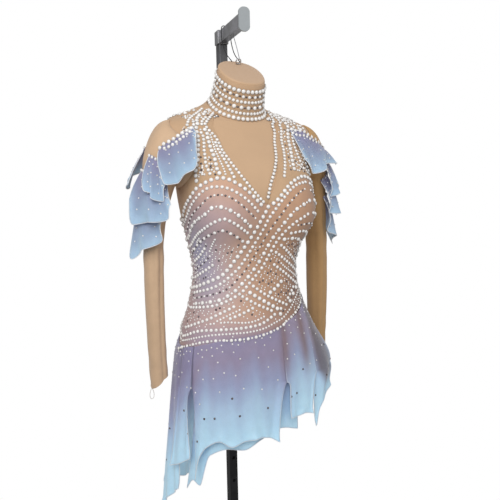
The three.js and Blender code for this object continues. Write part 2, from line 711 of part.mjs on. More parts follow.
// ---------------------------------------------------------------- skirt
// A petal hangs from the hip line. Its angle turns from the top's to the hem's, and it swings out
// from the form with soft flutes that deepen towards the hem.
function petal({ gap, waves, depth, bulge, slit, swing, rows }) {
  const at = Object.fromEntries(PETAL_TABLE.map((key) => [key, evenly(rows, key)]));
  const place = (u, v) => {
    const h = lerp(hipLine(wrapped(at.top(u))) + PETAL_LAP, at.h(u), v);
    const opened = clamp((h - SLIT_TOP) / (at.h(u) - SLIT_TOP), 0, 1) ** SLIT_OPENING;
    const t = lerp(at.top(u), at.hem(u), slit ? opened : v ** PETAL_TURN);
    const swell = bulge * Math.sin(Math.PI * v * v) ** 2 * Math.sin((Math.PI * u) / 2);
    const clear = gap + CLOTH / 2 + at.flare(u) * v ** swing + swell;
    const flute = depth * v ** 2 * Math.sin(2 * Math.PI * waves * u) * Math.sin(Math.PI * u);
    const point = skin(t, Math.max(h, FULLEST_HIP), clear + flute);
    point.z = Math.min(point.z, WAIST_HEIGHT + h);
    return point;
  };
  const width = Math.abs(rows[rows.length - 1].top - rows[0].top);
  const denseAbove = (u, v) => place(u, v ** PETAL_CROWDING);
  return sheet(denseAbove, Math.max(LEAST_COLUMNS, Math.round(width / PANEL_STEP)), PETAL_ROWS);
}
for (const [name, shape] of Object.entries(PETALS)) {
  add(name, petal(shape), name === "underskirt" ? COLOURS.blue : COLOURS.mauve);
}

// ---------------------------------------------------------------- stand
const base = new THREE.BoxGeometry(BASE.width, BASE.depth, BASE.thickness);
add("base_plate", base.translate(0, 0, BASE.thickness / 2), COLOURS.steel, 0.4, 0.9);

// The post is drawn from the front, with a row of round holes, and pulled back to its depth.
function post() {
  const [half, low] = [POST.size / 2, BASE.thickness + HOLD_GAP];
  const high = WAIST_HEIGHT + POST.top;
  const outline = new THREE.Shape([
    new THREE.Vector2(-half, low), new THREE.Vector2(half, low),
    new THREE.Vector2(half, high), new THREE.Vector2(-half, high),
  ]);
  for (let i = 0; i < POST.holes; i += 1) {
    const hole = new THREE.Path();
    outline.holes.push(hole.absarc(0, POST.firstHole + i * POST.pitch, POST.hole, 0, 2 * Math.PI));
  }
  const geometry = new THREE.ExtrudeGeometry(outline, {
    depth: POST.size, bevelEnabled: false, curveSegments: 5,
  });
  return geometry.rotateX(Math.PI / 2).translate(POST.x, POST.y + half, 0);
}
add("post", post(), COLOURS.steel, 0.45, 0.85);

// The arm's own group: its -Y is the way that the arm points, and it turns about the post.
const head = new THREE.Group();
head.position.set(POST.x, POST.y, WAIST_HEIGHT + POST.top + HOLD_GAP);
head.rotation.z = ARM.yaw * RAD;
dress.add(head);
const armHeight = BRACKET.height / 2;
const armNear = BRACKET.size / 2 + HOLD_GAP;
const armFar = armNear + ARM.length;

function hard(name, geometry) {
  const mesh = add(name, geometry, COLOURS.steel, 0.4, 0.85);
  head.add(mesh);
  return mesh;
}
hard("bracket", new THREE.BoxGeometry(BRACKET.size, BRACKET.size, BRACKET.height))
  .position.set(0, 0, armHeight);
hard("arm", new THREE.BoxGeometry(ARM.width, ARM.length, ARM.height))
  .position.set(0, -(armNear + armFar) / 2, armHeight);

function endPlate() {
  const [w, h, r] = [END_PLATE.width / 2, END_PLATE.height / 2, END_PLATE.corner];
  const outline = new THREE.Shape();
  outline.moveTo(-w + r, -h).lineTo(w - r, -h).absarc(w - r, -h + r, r, -Math.PI / 2, 0);
  outline.absarc(w - r, h - r, r, 0, Math.PI / 2).absarc(-w + r, h - r, r, Math.PI / 2, Math.PI);
  outline.absarc(-w + r, -h + r, r, Math.PI, 1.5 * Math.PI);
  const geometry = new THREE.ExtrudeGeometry(outline, {
    depth: END_PLATE.thickness, bevelEnabled: false, curveSegments: 4,
  });
  return geometry.rotateX(Math.PI / 2);
}
hard("arm_end_plate", endPlate()).position.set(0, -armFar - HOLD_GAP, armHeight);

// ---------------------------------------------------------------- what the form hangs by
const CAP_TILT = 39;
const capPoint = (x, back, away) => {
  const [c, s] = [Math.cos(CAP_TILT * RAD), Math.sin(CAP_TILT * RAD)];
  const middle = ringPoint(90, FORM_TOP);
  return new THREE.Vector3(x, middle.y + back * c - away * s, middle.z + back * s + away * c);
};
const EYE = { x: 4, back: 36, radius: 6, wire: 1.4 };
const WIRE = { radius: 0.8, x: 12.5, y: 53 };
const CORD = { radius: 1.1, y: 104, side: 12.5, over: 19, corner: 15, ends: [-7, 14], back: 46 };
const CORD_SLACK = new THREE.Vector3(0, 6, -4); // how far its two free stretches sag

const eye = new THREE.TorusGeometry(EYE.radius, EYE.wire, 6, 14);
eye.rotateX(Math.PI / 2);
for (const attribute of ["normal", "uv"]) eye.deleteAttribute(attribute);
const eyeAt = capPoint(EYE.x, EYE.back, EYE.radius + EYE.wire + HOLD_GAP);
const eyeMesh = add("neck_eye", facingOut(mergeVertices(eye, 1e-4)), COLOURS.steel, 0.3, 0.9);
eyeMesh.position.copy(eyeAt);
eyeMesh.rotation.x = CAP_TILT * RAD;

// A round cord along a list of points.
function cordAlong(points, radius, stepCount, sides) {
  const ring = new THREE.Shape();
  steps(sides).slice(0, -1).forEach((share, i) => {
    const [x, y] = [radius * Math.cos(2 * Math.PI * share), radius * Math.sin(2 * Math.PI * share)];
    if (i === 0) ring.moveTo(x, y);
    else ring.lineTo(x, y);
  });
  ring.closePath();
  return new THREE.ExtrudeGeometry(ring, {
    steps: stepCount, bevelEnabled: false, extrudePath: new THREE.CatmullRomCurve3(points),
  });
}

const armUnder = WAIST_HEIGHT + POST.top + HOLD_GAP + armHeight - ARM.height / 2;
const eyeTop = eyeAt.clone().add(capPoint(0, 0, EYE.radius + EYE.wire + HOLD_GAP))
  .sub(capPoint(0, 0, 0));
const wireTop = new THREE.Vector3(WIRE.x, WIRE.y, armUnder - HOLD_GAP - WIRE.radius);
add("hanging_wire",
  cordAlong([eyeTop.clone().add(new THREE.Vector3(0, 0, WIRE.radius)), wireTop], WIRE.radius, 2, 6),
  COLOURS.pearl, 0.3);

const armX = POST.x + Math.tan(ARM.yaw * RAD) * (POST.y - CORD.y);
const armMiddle = armUnder + ARM.height / 2;
const cordLift = CORD.radius * 1.4 + HOLD_GAP; // its slanting end clears the cap
const cordEnds = CORD.ends.map((x) => capPoint(x, CORD.back, cordLift));
const cordSide = (side, z) => new THREE.Vector3(armX + side * CORD.side, CORD.y, z);
add("cord_loop",
  cordAlong([
    cordEnds[0],
    cordEnds[0].clone().lerp(cordSide(-1, armUnder), 0.5).add(CORD_SLACK),
    cordSide(-1, armUnder), cordSide(-1, armMiddle + CORD.corner),
    new THREE.Vector3(armX, CORD.y, armMiddle + CORD.over),
    cordSide(1, armMiddle + CORD.corner), cordSide(1, armUnder),
    cordEnds[1].clone().lerp(cordSide(1, armUnder), 0.5).add(CORD_SLACK),
    cordEnds[1],
  ], CORD.radius, 28, 6),
  COLOURS.cord);

export default dress;
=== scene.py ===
"""A beaded figure skating dress on a limbless dress form that hangs in its own stand.

Places on the dress are given as in the frame: an angle t in degrees, from the front (0) towards the
wearer's left (90), and a height h over the waist. Shapes are worked out in millimetres as whole
numpy grids, and turned into metres when they become meshes.
"""
import json

import bpy
import numpy as np
from bpy.props import FloatProperty, FloatVectorProperty, IntProperty, PointerProperty
from mathutils import Euler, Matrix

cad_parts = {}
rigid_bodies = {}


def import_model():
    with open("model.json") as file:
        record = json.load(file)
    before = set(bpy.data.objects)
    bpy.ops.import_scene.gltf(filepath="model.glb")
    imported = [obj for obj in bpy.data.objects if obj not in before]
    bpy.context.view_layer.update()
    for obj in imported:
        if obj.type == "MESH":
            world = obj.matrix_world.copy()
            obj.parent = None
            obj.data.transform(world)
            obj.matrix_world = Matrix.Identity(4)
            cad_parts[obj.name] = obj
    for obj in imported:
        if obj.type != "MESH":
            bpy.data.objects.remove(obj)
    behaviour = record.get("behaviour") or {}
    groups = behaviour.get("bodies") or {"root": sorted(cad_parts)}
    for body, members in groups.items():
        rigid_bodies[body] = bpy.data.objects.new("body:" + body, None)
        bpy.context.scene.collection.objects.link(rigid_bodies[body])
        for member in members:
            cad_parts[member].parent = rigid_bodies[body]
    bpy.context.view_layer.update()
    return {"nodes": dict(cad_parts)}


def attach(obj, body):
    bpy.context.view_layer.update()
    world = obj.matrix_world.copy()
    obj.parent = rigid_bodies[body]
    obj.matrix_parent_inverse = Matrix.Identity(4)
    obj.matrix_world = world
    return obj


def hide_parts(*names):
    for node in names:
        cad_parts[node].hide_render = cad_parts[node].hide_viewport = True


bl_info = {
    "name": "Figure skating dress",
    "version": (1, 0, 0),
    "blender": (4, 5, 0),
    "location": "View3D > Sidebar > Dress",
    "description": "Builds a beaded skating dress on a dress form with its stand",
    "category": "Object",
}

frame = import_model()

# ---------------------------------------------------------------- driving dimensions, in mm
MM = 0.001
WAIST_HEIGHT = 1080.0
CLOTH = 1.2
SEAM = 0.4  # between two pieces that are sewn edge to edge
# How far off the form the inner side of each layer lies.
BODY_GAP = 3.2
SKIRT_GAP = 5.6
OVERSKIRT_GAP = 7.7
COLLAR_GAP = 0.45
HUG = {"gap": 0.4, "angle": 8.0, "height": 22.0}  # the yokes at the open V, and how soon they rise from it
COLLAR_LOW = 366.4
COLLAR_HIGH = 436.0
SQUARENESS = 0.04  # of the form's rings
BUST = {"t": 38.0, "h": 125.0, "rise": 36.0, "spread": 18.0, "above": 55.0, "below": 40.0}
FORM_TOP = 448.0
FORM_BOTTOM = -235.0
FINE_FROM = 240.0  # above it the form's rings lie closer together
FINE_STEP = 6.0
CAP_RADIUS = 54.0
RIM = 4.5  # radius that the cap's rim is rounded with
CAP_RINGS = (0.6, 0.3, 0.0)  # rings of the cap's flat top, as shares of its radius
FOOT_RINGS = (0.0, 0.5, 0.98)  # the same for its foot
FULLEST_HIP = -190.0  # below it the petals hang straight down
RUFFLE_LIFT = CLOTH + 0.35
SLEEVE_LAP = 5.05  # how far off the form the sleeve's head lies, over the yokes
SLEEVE_EASE = 24.0
SLEEVE_BLEND = 0.15  # share of its length over which the head takes the armhole's outline
SLEEVE_FINER = 1.35  # how much closer the rows of its grid lie at the head
CUFF = {"from": 0.8, "over": 0.2, "sharp": 1.5, "rim": 1.1}
YOKE_BINDING = 0.7
PETAL_LAP = 5.0  # how far a petal's top runs up over the hip line
PETAL_TURN = 2.2  # how late an unslit petal turns from its top's angle to its hem's
SLIT_OPENING = 0.5  # how soon a slit opens: less than 1 makes it round at its top
BRIEFS_LOW = -238.0
GUSSET = {"wide": 42.0, "narrow": 30.0, "drop": 0.7}
FINGER_LOOP = {"half": 4.5, "height": 11.5, "cord": 0.8, "narrower_above": 0.35}
POST = {"x": 26.0, "y": 143.0, "top": 545.0}
BRACKET = {"height": 34.0}
ARM = {"height": 30.0, "yaw": -8.5}
HOLD_GAP = 0.3
CAP_TILT = 39.0
EYE = {"x": 4.0, "back": 36.0, "radius": 6.0, "wire": 1.4}
WIRE = {"radius": 0.8, "x": 12.5, "y": 53.0, "bow": (1.2, 0.8, 0)}
CORD = {"radius": 1.1, "y": 104.0, "side": 12.5, "over": 19.0, "corner": 15.0, "ends": (-7, 14),
        "behind_eye": 10.0, "slack": (0, 6, -4)}
EASED_EDGE = {"width": 0.0014, "segments": 3, "sharper_than": 35.0}


# ---------------------------------------------------------------- tables
def table(names, rows):
    """A table as a dictionary of columns."""
    return dict(zip(names.split(), np.array(rows, float).T))


FORM = table("h half front back y tilt", [
    (-245, 152, 100, 107, 0, 0), (-190, 157, 102, 112, 0, 0), (-130, 149, 100, 105, 0, 0),
    (-70, 130, 93, 92, 0, 0), (0, 118, 88, 86, 0, 0), (60, 127, 93, 92, 0, 0),
    (115, 140, 100, 99, 0, 0), (160, 148, 103, 106, 0, 0), (205, 155, 98, 110, 0, 0),
    (245, 168, 84, 108, 0, 3), (280, 180, 68, 100, 3, 8), (304, 182, 56, 88, 5, 12),
    (320, 180, 50, 76, 7, 16), (333, 166, 47, 68, 8, 20), (344, 132, 46, 64, 10, 24),
    (354, 98, 48, 62, 12, 28), (363, 76, 54, 60, 16, 33), (373, 64, 58, 58, 18, 36),
    (395, 57, 56, 56, 11, 38), (425, 54.5, 54, 54, 0, 39), (448, 54, 54, 54, -9, 39),
])
TOP_LINE = table("t h", [
    (0, 148), (12, 163), (25, 192), (38, 206), (52, 197), (66, 170), (80, 138), (90, 124),
    (110, 120), (130, 118), (180, 112),
])
HIP_LINE = table("t h", [
    (-180, -95), (-140, -125), (-100, -164), (-70, -158), (-40, -143), (0, -132), (30, -108),
    (65, -74), (90, -62), (130, -70), (180, -95),
])
V_EDGE = {
    "right": table("t h", [
        (0.7, 148), (8.5, 170), (15, 195), (21, 220), (24.5, 260), (25.5, 300), (28, 325), (37, 343),
        (52, 355), (67, 366),
    ]),
    "left": table("t h", [
        (0.7, 148), (5, 170), (9.5, 195), (13, 220), (15.5, 260), (17, 300), (21, 325), (33, 343),
        (50, 355), (67, 366),
    ]),
}
YOKE_EDGE = table("t h", [
    (89.9, 124), (89.9, 160), (88.8, 188), (69.5, 196.5), (56.5, 222), (51, 268), (60, 300),
    (75.5, 321.5), (89.8, 333), (89.8, 345), (89.7, 357), (89.7, 366),
])
BACK_YOKE_EDGE = table("t h", [
    (90.1, 124), (90.1, 160), (91.2, 188), (109.5, 198), (125.5, 235), (129, 270), (121.5, 302),
    (107, 324), (90.2, 333), (90.2, 345), (90.3, 357), (90.3, 366),
])
ARMHOLE = table("turn t h", [
    (0, 90, 331), (35, 74, 322), (60, 58, 300), (90, 50, 268), (120, 58, 225), (150, 72, 200),
    (180, 90, 190), (210, 108, 200), (240, 124, 235), (270, 127, 270), (300, 120, 300),
    (325, 106, 322), (360, 90, 331),
])
SLEEVES = {
    "right": table("along x y h tilt across deep", [
        (0, 176, 12, 268, 78, 62, 52), (0.06, 184, 12, 258, 64, 58, 50),
        (0.14, 195, 12, 228, 40, 44, 46), (0.24, 201, 12, 190, 18, 32, 40),
        (0.36, 208, 13, 140, 5, 25, 34), (0.5, 214, 15, 70, 0, 21, 28),
        (0.7, 215, 15, -40, 0, 20, 26), (0.85, 214, 14, -130, 0, 19, 25),
        (1, 211, 12, -218, 0, 18, 23),
    ]),
    "left": table("along x y h tilt across deep", [
        (0, 176, 12, 268, 78, 62, 52), (0.06, 184, 12, 258, 64, 58, 50),
        (0.14, 195, 12, 228, 40, 44, 46), (0.24, 201, 12, 190, 18, 32, 40),
        (0.36, 208, 14, 140, 5, 25, 34), (0.5, 216, 19, 70, 0, 22, 32),
        (0.7, 222, 28, -40, 0, 22, 32), (0.85, 227, 37, -130, 0, 21, 29),
        (1, 230, 45, -212, 0, 20, 25),
    ]),
}
CUFF_POINT = {"right": {"turn": 0.0, "drop": 26.0}, "left": {"turn": 180.0, "drop": 26.0}}
# Long soft creases of the empty sleeves: turn at the top and the bottom, width in degrees, depth.
CREASE = {"sway": 5.0, "pace": 7.0, "from": 0.2, "over": 0.3}
ELBOW_RIPPLE = {"depth": 0.7, "count": 60.0, "twist": 2.0, "along": 0.52, "width": 0.1}
CUFF_RIPPLE = {"depth": 0.5, "count": 80.0, "twist": 3.0, "from": 0.82, "over": 0.12}
SLEEVE_CREASES = {
    "right": table("high low width depth", [
        (118, 104, 13, 4.2), (58, 70, 10, 1.6), (200, 188, 20, 3.0), (300, 285, 18, 2.6),
    ]),
    "left": table("high low width depth", [
        (70, 84, 12, 3.0), (150, 140, 12, 2.2), (255, 262, 20, 3.4), (330, 318, 14, 1.8),
    ]),
}
FRONT_RUFFLES = {
    "right": table("seam_x seam_y seam_h edge_x edge_y edge_h", [
        (138, -40, 316, 138, -56, 300), (146, -41, 311, 146, -74, 268),
        (158, -41, 305, 150, -86, 245), (170, -41, 298, 157, -83, 225),
        (180, -40, 291, 175, -77, 212), (190, -37, 285, 190, -66, 196),
        (202, -32, 279, 208, -58, 196), (211, -27, 268, 214, -44, 226),
    ]),
    "left": table("seam_x seam_y seam_h edge_x edge_y edge_h", [
        (107, -37, 320, 121, -88, 226), (124, -36, 316, 132, -90, 219),
        (138, -40, 316, 146, -86, 218), (156, -41, 306, 164, -80, 221),
        (174, -42, 296, 182, -72, 229), (188, -40, 287, 200, -64, 238),
        (200, -34, 280, 222, -54, 241), (211, -27, 268, 236, -40, 232),
    ]),
}
TIERS = {
    "fold": table("turn along edge_x edge_y edge_h", [
        (66, 0.135, 204, -54, 178), (56, 0.135, 218, -52, 164), (46, 0.135, 232, -46, 168),
        (36, 0.135, 242, -38, 180), (26, 0.135, 246, -26, 190),
    ]),
    "upper": table("turn along edge_x edge_y edge_h", [
        (96, 0.21, 195, -62, 141), (76, 0.205, 208, -56, 127), (56, 0.2, 226, -50, 120),
        (36, 0.195, 244, -36, 116), (14, 0.19, 262, -4, 114), (-12, 0.185, 264, 14, 152),
    ]),
    "lower": table("turn along edge_x edge_y edge_h", [
        (84, 0.315, 210, -40, 104), (64, 0.31, 216, -38, 84), (44, 0.305, 230, -30, 68),
        (22, 0.3, 250, -8, 54), (-4, 0.295, 262, 14, 40), (-30, 0.29, 252, 36, 58),
    ]),
    "back": table("turn along edge_x edge_y edge_h", [
        (-22, 0.12, 262, 36, 176), (-44, 0.11, 252, 66, 196), (-62, 0.1, 228, 92, 214),
        (-78, 0.09, 200, 108, 228), (-94, 0.08, 176, 116, 236),
    ]),
}
RUFFLE_CENTRE = np.array([120.0, 10.0, WAIST_HEIGHT + 200.0])
# How the ruffles swell between seam and edge, and their waves, folds, rolled edge and corners.
RUFFLE_SWELL = {"front": 5.0, "fold": 6.0, "upper": 6.0, "lower": 6.0, "back": 6.0}
RUFFLE_WAVES = 2.5
RUFFLE_DEPTH = 3.0
RUFFLE_FOLD = {"depth": 5.0, "pace": 0.8, "start": 0.7, "twist": 1.2}
RUFFLE_CURL = {"depth": 4.5, "reach": 0.12, "start": 2.0}
RUFFLE_EDGE = {"rise": 3.0, "pace": 0.6, "start": 2.2}
RUFFLE_ROUND = {"cut": 0.2, "width": 0.1}  # how its two free corners are rounded
CHIFFON = {"ruffle": 0.9, "petal": 1.0}  # the thickness of the cloth

SLIT_TOP = -240.0
PETAL_JOIN = {"angle": 1.2, "fade": 8.0, "side": 0.005}  # how it runs on over the next above its slits
# Degrees that the first edge of a petal's slit swings open, and the share of the petal that moves.
GAPE = {"skirt_front_right": -4.5, "skirt_front_left": 1.5}
GAPE_SHARE = 0.35
PETAL_FOLD = {"depth": 1.7, "over": 220.0, "power": 1.8, "start": 1.3, "sway": 0.05, "pace": 2.4}
FOLDS_PER_TURN = 8
SLIT_CURL = {"depth": 3.2, "reach": 0.05, "onset": 3.0}
HEM_CURL = {"depth": 1.6, "reach": 0.03, "pace": 1.4, "start": 0.8}
# Each petal: its gap, waves, depth, bulge, whether it is slit, its swing, and its rows.
PETAL_ROWS = "top hem h flare"
PETALS = {
    "skirt_front": ((OVERSKIRT_GAP, 3, 4, 0, True, 1.5), [
        (-65.9, -59.5, -423, 28), (-58, -56, -374, 29), (-50, -50, -350, 30), (-42, -42.5, -339, 30),
        (-34, -34, -351, 30), (-26, -25.5, -345, 30), (-13, -16.5, -340, 29), (0, -8.5, -344, 29),
        (12.4, -1, -356, 29),
    ]),
    "skirt_front_left": ((OVERSKIRT_GAP, 1.5, 4, 2, True, 1.5), [
        (12.6, 9.5, -312, 28), (22, 16, -315, 28), (33, 23, -313, 28), (42.9, 30, -317, 28),
    ]),
    "skirt_side_flap": ((OVERSKIRT_GAP, 1.5, 4, 26, True, 1.5), [
        (43.1, 33.5, -350, 26), (58, 44, -304, 32), (74, 62, -284, 38), (94.9, 90, -310, 38),
    ]),
    "skirt_front_right": ((OVERSKIRT_GAP, 1.5, 4, 0, True, 1.2), [
        (-66.1, -63, -380, 30), (-72, -67.5, -388, 32), (-79, -74, -399, 34), (-84.9, -83, -409, 36),
    ]),
    "skirt_tail": ((SKIRT_GAP, 2, 4, 0, False, 0.7), [
        (-85.1, -81, -464, 20), (-94, -88, -478, 27), (-104, -97, -500, 33), (-116, -106, -528, 40),
        (-129.9, -119, -492, 38),
    ]),
    "skirt_back_left": ((SKIRT_GAP, 3, 4, 0, False, 1.3), [
        (95.1, 96, -335, 38), (115, 117, -346, 32), (135, 137, -356, 22), (150, 151, -366, 12),
        (166.9, 165, -388, 7),
    ]),
    "skirt_back_right": ((SKIRT_GAP + 0.3, 3, 4, 0, False, 1.3), [
        (167.1, 168, -392, 7), (178, 176, -405, 7), (192, 190, -450, 14), (206, 206, -520, 24),
        (229.9, 226, -508, 34),
    ]),
    "underskirt": ((SKIRT_GAP, 3, 2.5, 0, False, 1.6), [
        (-64, -75, -462, 13), (-58, -66, -437, 14), (-52, -60, -446, 15), (-42, -50, -376, 15),
        (-30, -38, -364, 15), (-18, -25, -370, 15), (-4, -12, -352, 15), (10, 5, -338, 15),
        (24, 21, -350, 15),
    ]),
}

# Rows of beads on the front: what is sewn along each row, and a few places (t, h) that it runs by.
# L, M, S and T are pearls from large to tiny, D is a dark cut stone.
BEAD_ROWS = [
    ("L", [(-6, 146), (-24, 187), (-38, 204), (-56, 188), (-66, 169), (-88, 136), (-96, 116)]),
    ("M", [(-10, 134), (-21, 161), (-33, 181), (-42, 186), (-51, 180), (-74, 137), (-92, 112)]),
    ("SD", [(-13, 121), (-29, 159), (-38, 170), (-47, 167), (-56, 149), (-88, 99)]),
    ("LS", [(-18, 106), (-32, 140), (-43, 150), (-51, 135), (-70, 110), (-91, 80)]),
    ("M", [(-20, 93), (-35, 124), (-42, 124), (-58, 101), (-78, 76), (-90, 62)]),
    ("MD", [(-24, 76), (-34, 98), (-42, 104), (-64, 76), (-90, 46)]),
    ("S", [(-46, 87), (-53, 63), (-57, 50)]),
    ("L", [(2, 148), (-12, 102), (-26, 51), (-40, 11), (-52, -8), (-81, -29), (-92, -33)]),
    ("M", [(38, 193), (25, 184), (13, 157), (-6, 92), (-23, 30), (-34, 3), (-54, -27), (-90, -46)]),
    ("SD", [(34, 178), (26, 168), (18, 149), (10, 119), (-16, 26), (-30, -11), (-46, -37), (-88, -58)]),
    ("LS", [(36, 156), (24, 139), (16, 113), (-6, 28), (-28, -27), (-38, -44), (-50, -56), (-90, -70)]),
    ("M", [(34, 131), (20, 101), (0, 22), (-17, -19), (-28, -43), (-48, -64), (-69, -72), (-92, -78)]),
    ("M", [(16, 62), (35, 32), (44, 20), (60, 0)]),
    ("M", [(11, 46), (25, 26), (38, 9), (56, -12)]),
    ("S", [(20, 19), (28, 6), (42, -11), (56, -26)]),
    ("M", [(10, 18), (30, -11), (40, -26), (50, -38)]),
    ("L", [(22, -21), (14, -34), (6, -44), (0, -48)]),
    ("M", [(-15, -25), (0, -49), (15, -67), (24, -78)]),
    ("L", [(-19, -38), (-6, -57), (6, -74), (14, -86)]),
    ("M", [(-26, -46), (-12, -65), (0, -79), (6, -86)]),
    ("M", [(-13, -73), (-26, -86), (-38, -96)]),
    ("M", [(-31, -67), (-46, -84), (-58, -97), (-80, -114), (-92, -122)]),
    ("S", [(-26, -75), (-38, -88), (-48, -100)]),
    ("S", [(-54, -105), (-38, -101), (-21, -104), (-12, -102), (-1, -93)]),
    ("M", [(-94, -140), (-83, -134), (-60, -119), (-21, -114), (-7, -110), (4, -98), (15, -84), (24, -68),
           (36, -46), (46, -30)]),
    ("S", [(-94, -150), (-82, -144), (-50, -127), (-18, -124), (-4, -120), (6, -112), (16, -104),
           (28, -86), (38, -69), (52, -50)]),
    ("LD", [(13, -96), (20, -86), (28, -72), (38, -53), (52, -36)]),
    ("MS", [(-95, -168), (-86, -161), (-52, -140), (-17, -136), (3, -127), (18, -114), (31, -101),
            (44, -87), (58, -74), (74, -63), (92, -56)]),
    # The cup and the side at the wearer's left.
    ("L", [(4, 148), (10, 160), (20, 186), (30, 201), (38, 205), (50, 197), (62, 178), (76, 148),
           (92, 122)]),
    ("M", [(42, 191), (52, 181), (64, 158), (78, 132), (92, 108)]),
    ("SD", [(40, 176), (52, 164), (66, 136), (92, 92)]),
    ("LS", [(42, 157), (54, 142), (70, 108), (92, 74)]),
    ("M", [(38, 132), (50, 124), (66, 88), (92, 56)]),
    ("SD", [(26, 106), (40, 110), (50, 98), (68, 64), (92, 36)]),
    ("M", [(22, 88), (36, 94), (48, 80), (66, 46), (92, 18)]),
    ("LS", [(18, 74), (32, 76), (46, 60), (64, 26), (92, 0)]),
    ("MD", [(50, 8), (70, -8), (92, -18)]),
    ("M", [(48, -12), (70, -26), (92, -34)]),
    # Short rows at the wearer's right side.
    ("M", [(-60, 62), (-74, 40), (-92, 24)]),
    ("SD", [(-56, 44), (-70, 24), (-92, 6)]),
    ("M", [(-54, 24), (-68, 8), (-92, -12)]),
    ("S", [(-64, 84), (-76, 66), (-92, 48)]),
]
STRAP_ROWS = [
    ("M", [(-66, 362), (-42, 340), (-29, 308), (-26.5, 260), (-22.5, 218), (-17, 192), (-12.5, 176),
           (-7, 160), (-2.5, 150)]),
    ("M", [(-62, 355), (-42, 335), (-31, 316), (-30, 273), (-29, 239), (-28, 212), (-26, 198)]),
    ("L", [(-80, 358), (-50, 342), (-36, 322), (-35, 298), (-36, 259), (-38, 222), (-37, 212)]),
    ("S", [(-58, 351), (-40, 334), (-33, 316), (-32, 290), (-33, 262), (-33, 232), (-33, 208)]),
    ("L", [(-78, 354), (-56, 342), (-45, 332), (-43, 297), (-49, 256), (-56, 222), (-57, 198)]),
    ("M", [(-70, 354), (-48, 338), (-39, 312), (-39, 290), (-42, 264), (-45, 236), (-44, 208)]),
    ("M", [(80, 365), (46, 354), (26, 341), (19, 310), (16, 280), (14, 252), (10, 221), (5, 193), (1, 162)]),
    ("M", [(80, 361), (50, 350), (31, 336), (24, 306), (22, 268), (20, 232), (17, 204)]),
    ("L", [(80, 357), (54, 347), (37, 333), (31, 312), (29, 284), (28, 246), (28, 216)]),
    ("M", [(72, 352), (52, 340), (39, 324), (35, 306), (34, 280), (36, 250), (40, 222)]),
    ("M", [(76, 350), (60, 338), (46, 324), (41, 300), (40, 272), (44, 244), (52, 210)]),
]
SHOULDER_ROWS = [
    ("M", [(-98, 358), (-75, 346), (-57, 335), (-53, 325)]),
    ("M", [(-88, 353), (-62, 343), (-49, 333), (-47, 322)]),
    ("M", [(92, 356), (72, 347), (56, 335), (52, 320)]),
    ("M", [(98, 360), (82, 352), (66, 342), (60, 328)]),
]
# Small beads between the rows: from and to in t and in h, and how many.
STRAP_CLUSTERS = [
    (-56, -33, 210, 334, 230), (24, 48, 215, 334, 170), (-86, -52, 340, 364, 110), (44, 86, 340, 364, 130),
]
# Rows on the hidden back: scallops under the back neck, a waist chevron and the hip rows carried on.
BACK_ROWS = [
    ("L", [(92, 122), (112, 119), (135, 116), (158, 113), (180, 111), (202, 113), (225, 116), (248, 119),
           (264, 116)]),
    ("M", [(92, 108), (112, 106), (135, 103), (158, 99), (180, 94), (202, 99), (225, 103), (248, 106),
           (268, 110)]),
    ("SD", [(92, 92), (115, 90), (140, 86), (180, 74), (220, 86), (245, 90), (270, 96)]),
    ("LS", [(92, 74), (115, 72), (140, 66), (180, 52), (220, 66), (245, 72), (269, 80)]),
    ("M", [(92, 56), (118, 52), (145, 44), (180, 30), (215, 44), (242, 52), (270, 62)]),
    ("SD", [(92, 36), (120, 30), (150, 20), (180, 8), (210, 20), (240, 30), (270, 44)]),
    ("M", [(92, 18), (120, 10), (150, -2), (180, -14), (210, -2), (240, 10), (268, 22)]),
    ("LS", [(92, 0), (122, -8), (152, -20), (180, -32), (208, -24), (240, -18), (268, -12)]),
    ("M", [(92, -18), (122, -26), (152, -40), (180, -50), (208, -48), (240, -42), (268, -34)]),
    ("S", [(92, -34), (125, -42), (155, -56), (180, -66), (210, -72), (240, -74), (268, -78)]),
    ("M", [(92, -42), (130, -52), (160, -68), (180, -78), (215, -98), (250, -128), (265, -140)]),
    ("S", [(92, -52), (130, -60), (160, -76), (180, -86), (215, -108), (250, -140), (266, -150)]),
    ("M", [(100, 352), (112, 344), (124, 330), (136, 300), (150, 250), (165, 190), (180, 140)]),
    ("M", [(260, 352), (248, 344), (236, 330), (224, 300), (210, 250), (195, 190), (180, 140)]),
    ("S", [(130, 350), (142, 330), (152, 290), (164, 230), (180, 168)]),
    ("S", [(230, 350), (218, 330), (208, 290), (196, 230), (180, 168)]),
    ("L", [(96, 346), (108, 338), (120, 318), (130, 290)]),
    ("L", [(264, 346), (252, 338), (240, 318), (230, 290)]),
]
COLLAR_ROWS = [("L", 372.5), ("M", 385.5), ("LD", 397.5), ("M", 409.0), ("MD", 420.0), ("L", 431.0)]
# Rows along the ruffles' seams: the ruffle, the pattern and the share of its drop that the row lies at.
SEAM_ROWS = (("front", "L", 0.0), ("front", "M", 0.12), ("fold", "M", 0.03), ("upper", "M", 0.02),
             ("back", "M", 0.02), ("lower", "S", 0.02))
# Tiny beads strewn between the rows: how many, how far they keep from the cloth's edges and how much
# room each keeps. On the front they stay below the bust.
FRONT_SCATTER = {"count": 1300, "side": 92.0, "low": 8.0, "top": 72.0, "room": 1.3, "one_dark_in": 6}
BACK_SCATTER = {"count": 500, "from": 92.0, "to": 268.0, "low": 8.0, "top": 6.0, "room": 1.6}
# Beads strewn over chiffon, as shares across it and down it. On the skirt they thin out towards the
# hem, and those past `dark_from` are dark.
RUFFLE_STREW = {"count": 15, "left": 0.04, "right": 0.96, "top": 0.14, "low": 0.9}
SKIRT_STREW = {"per_degree": 0.5, "left": 0.03, "right": 0.97, "top": 0.04, "low": 0.94, "thinning": 2.2,
               "dark_from": 0.55}
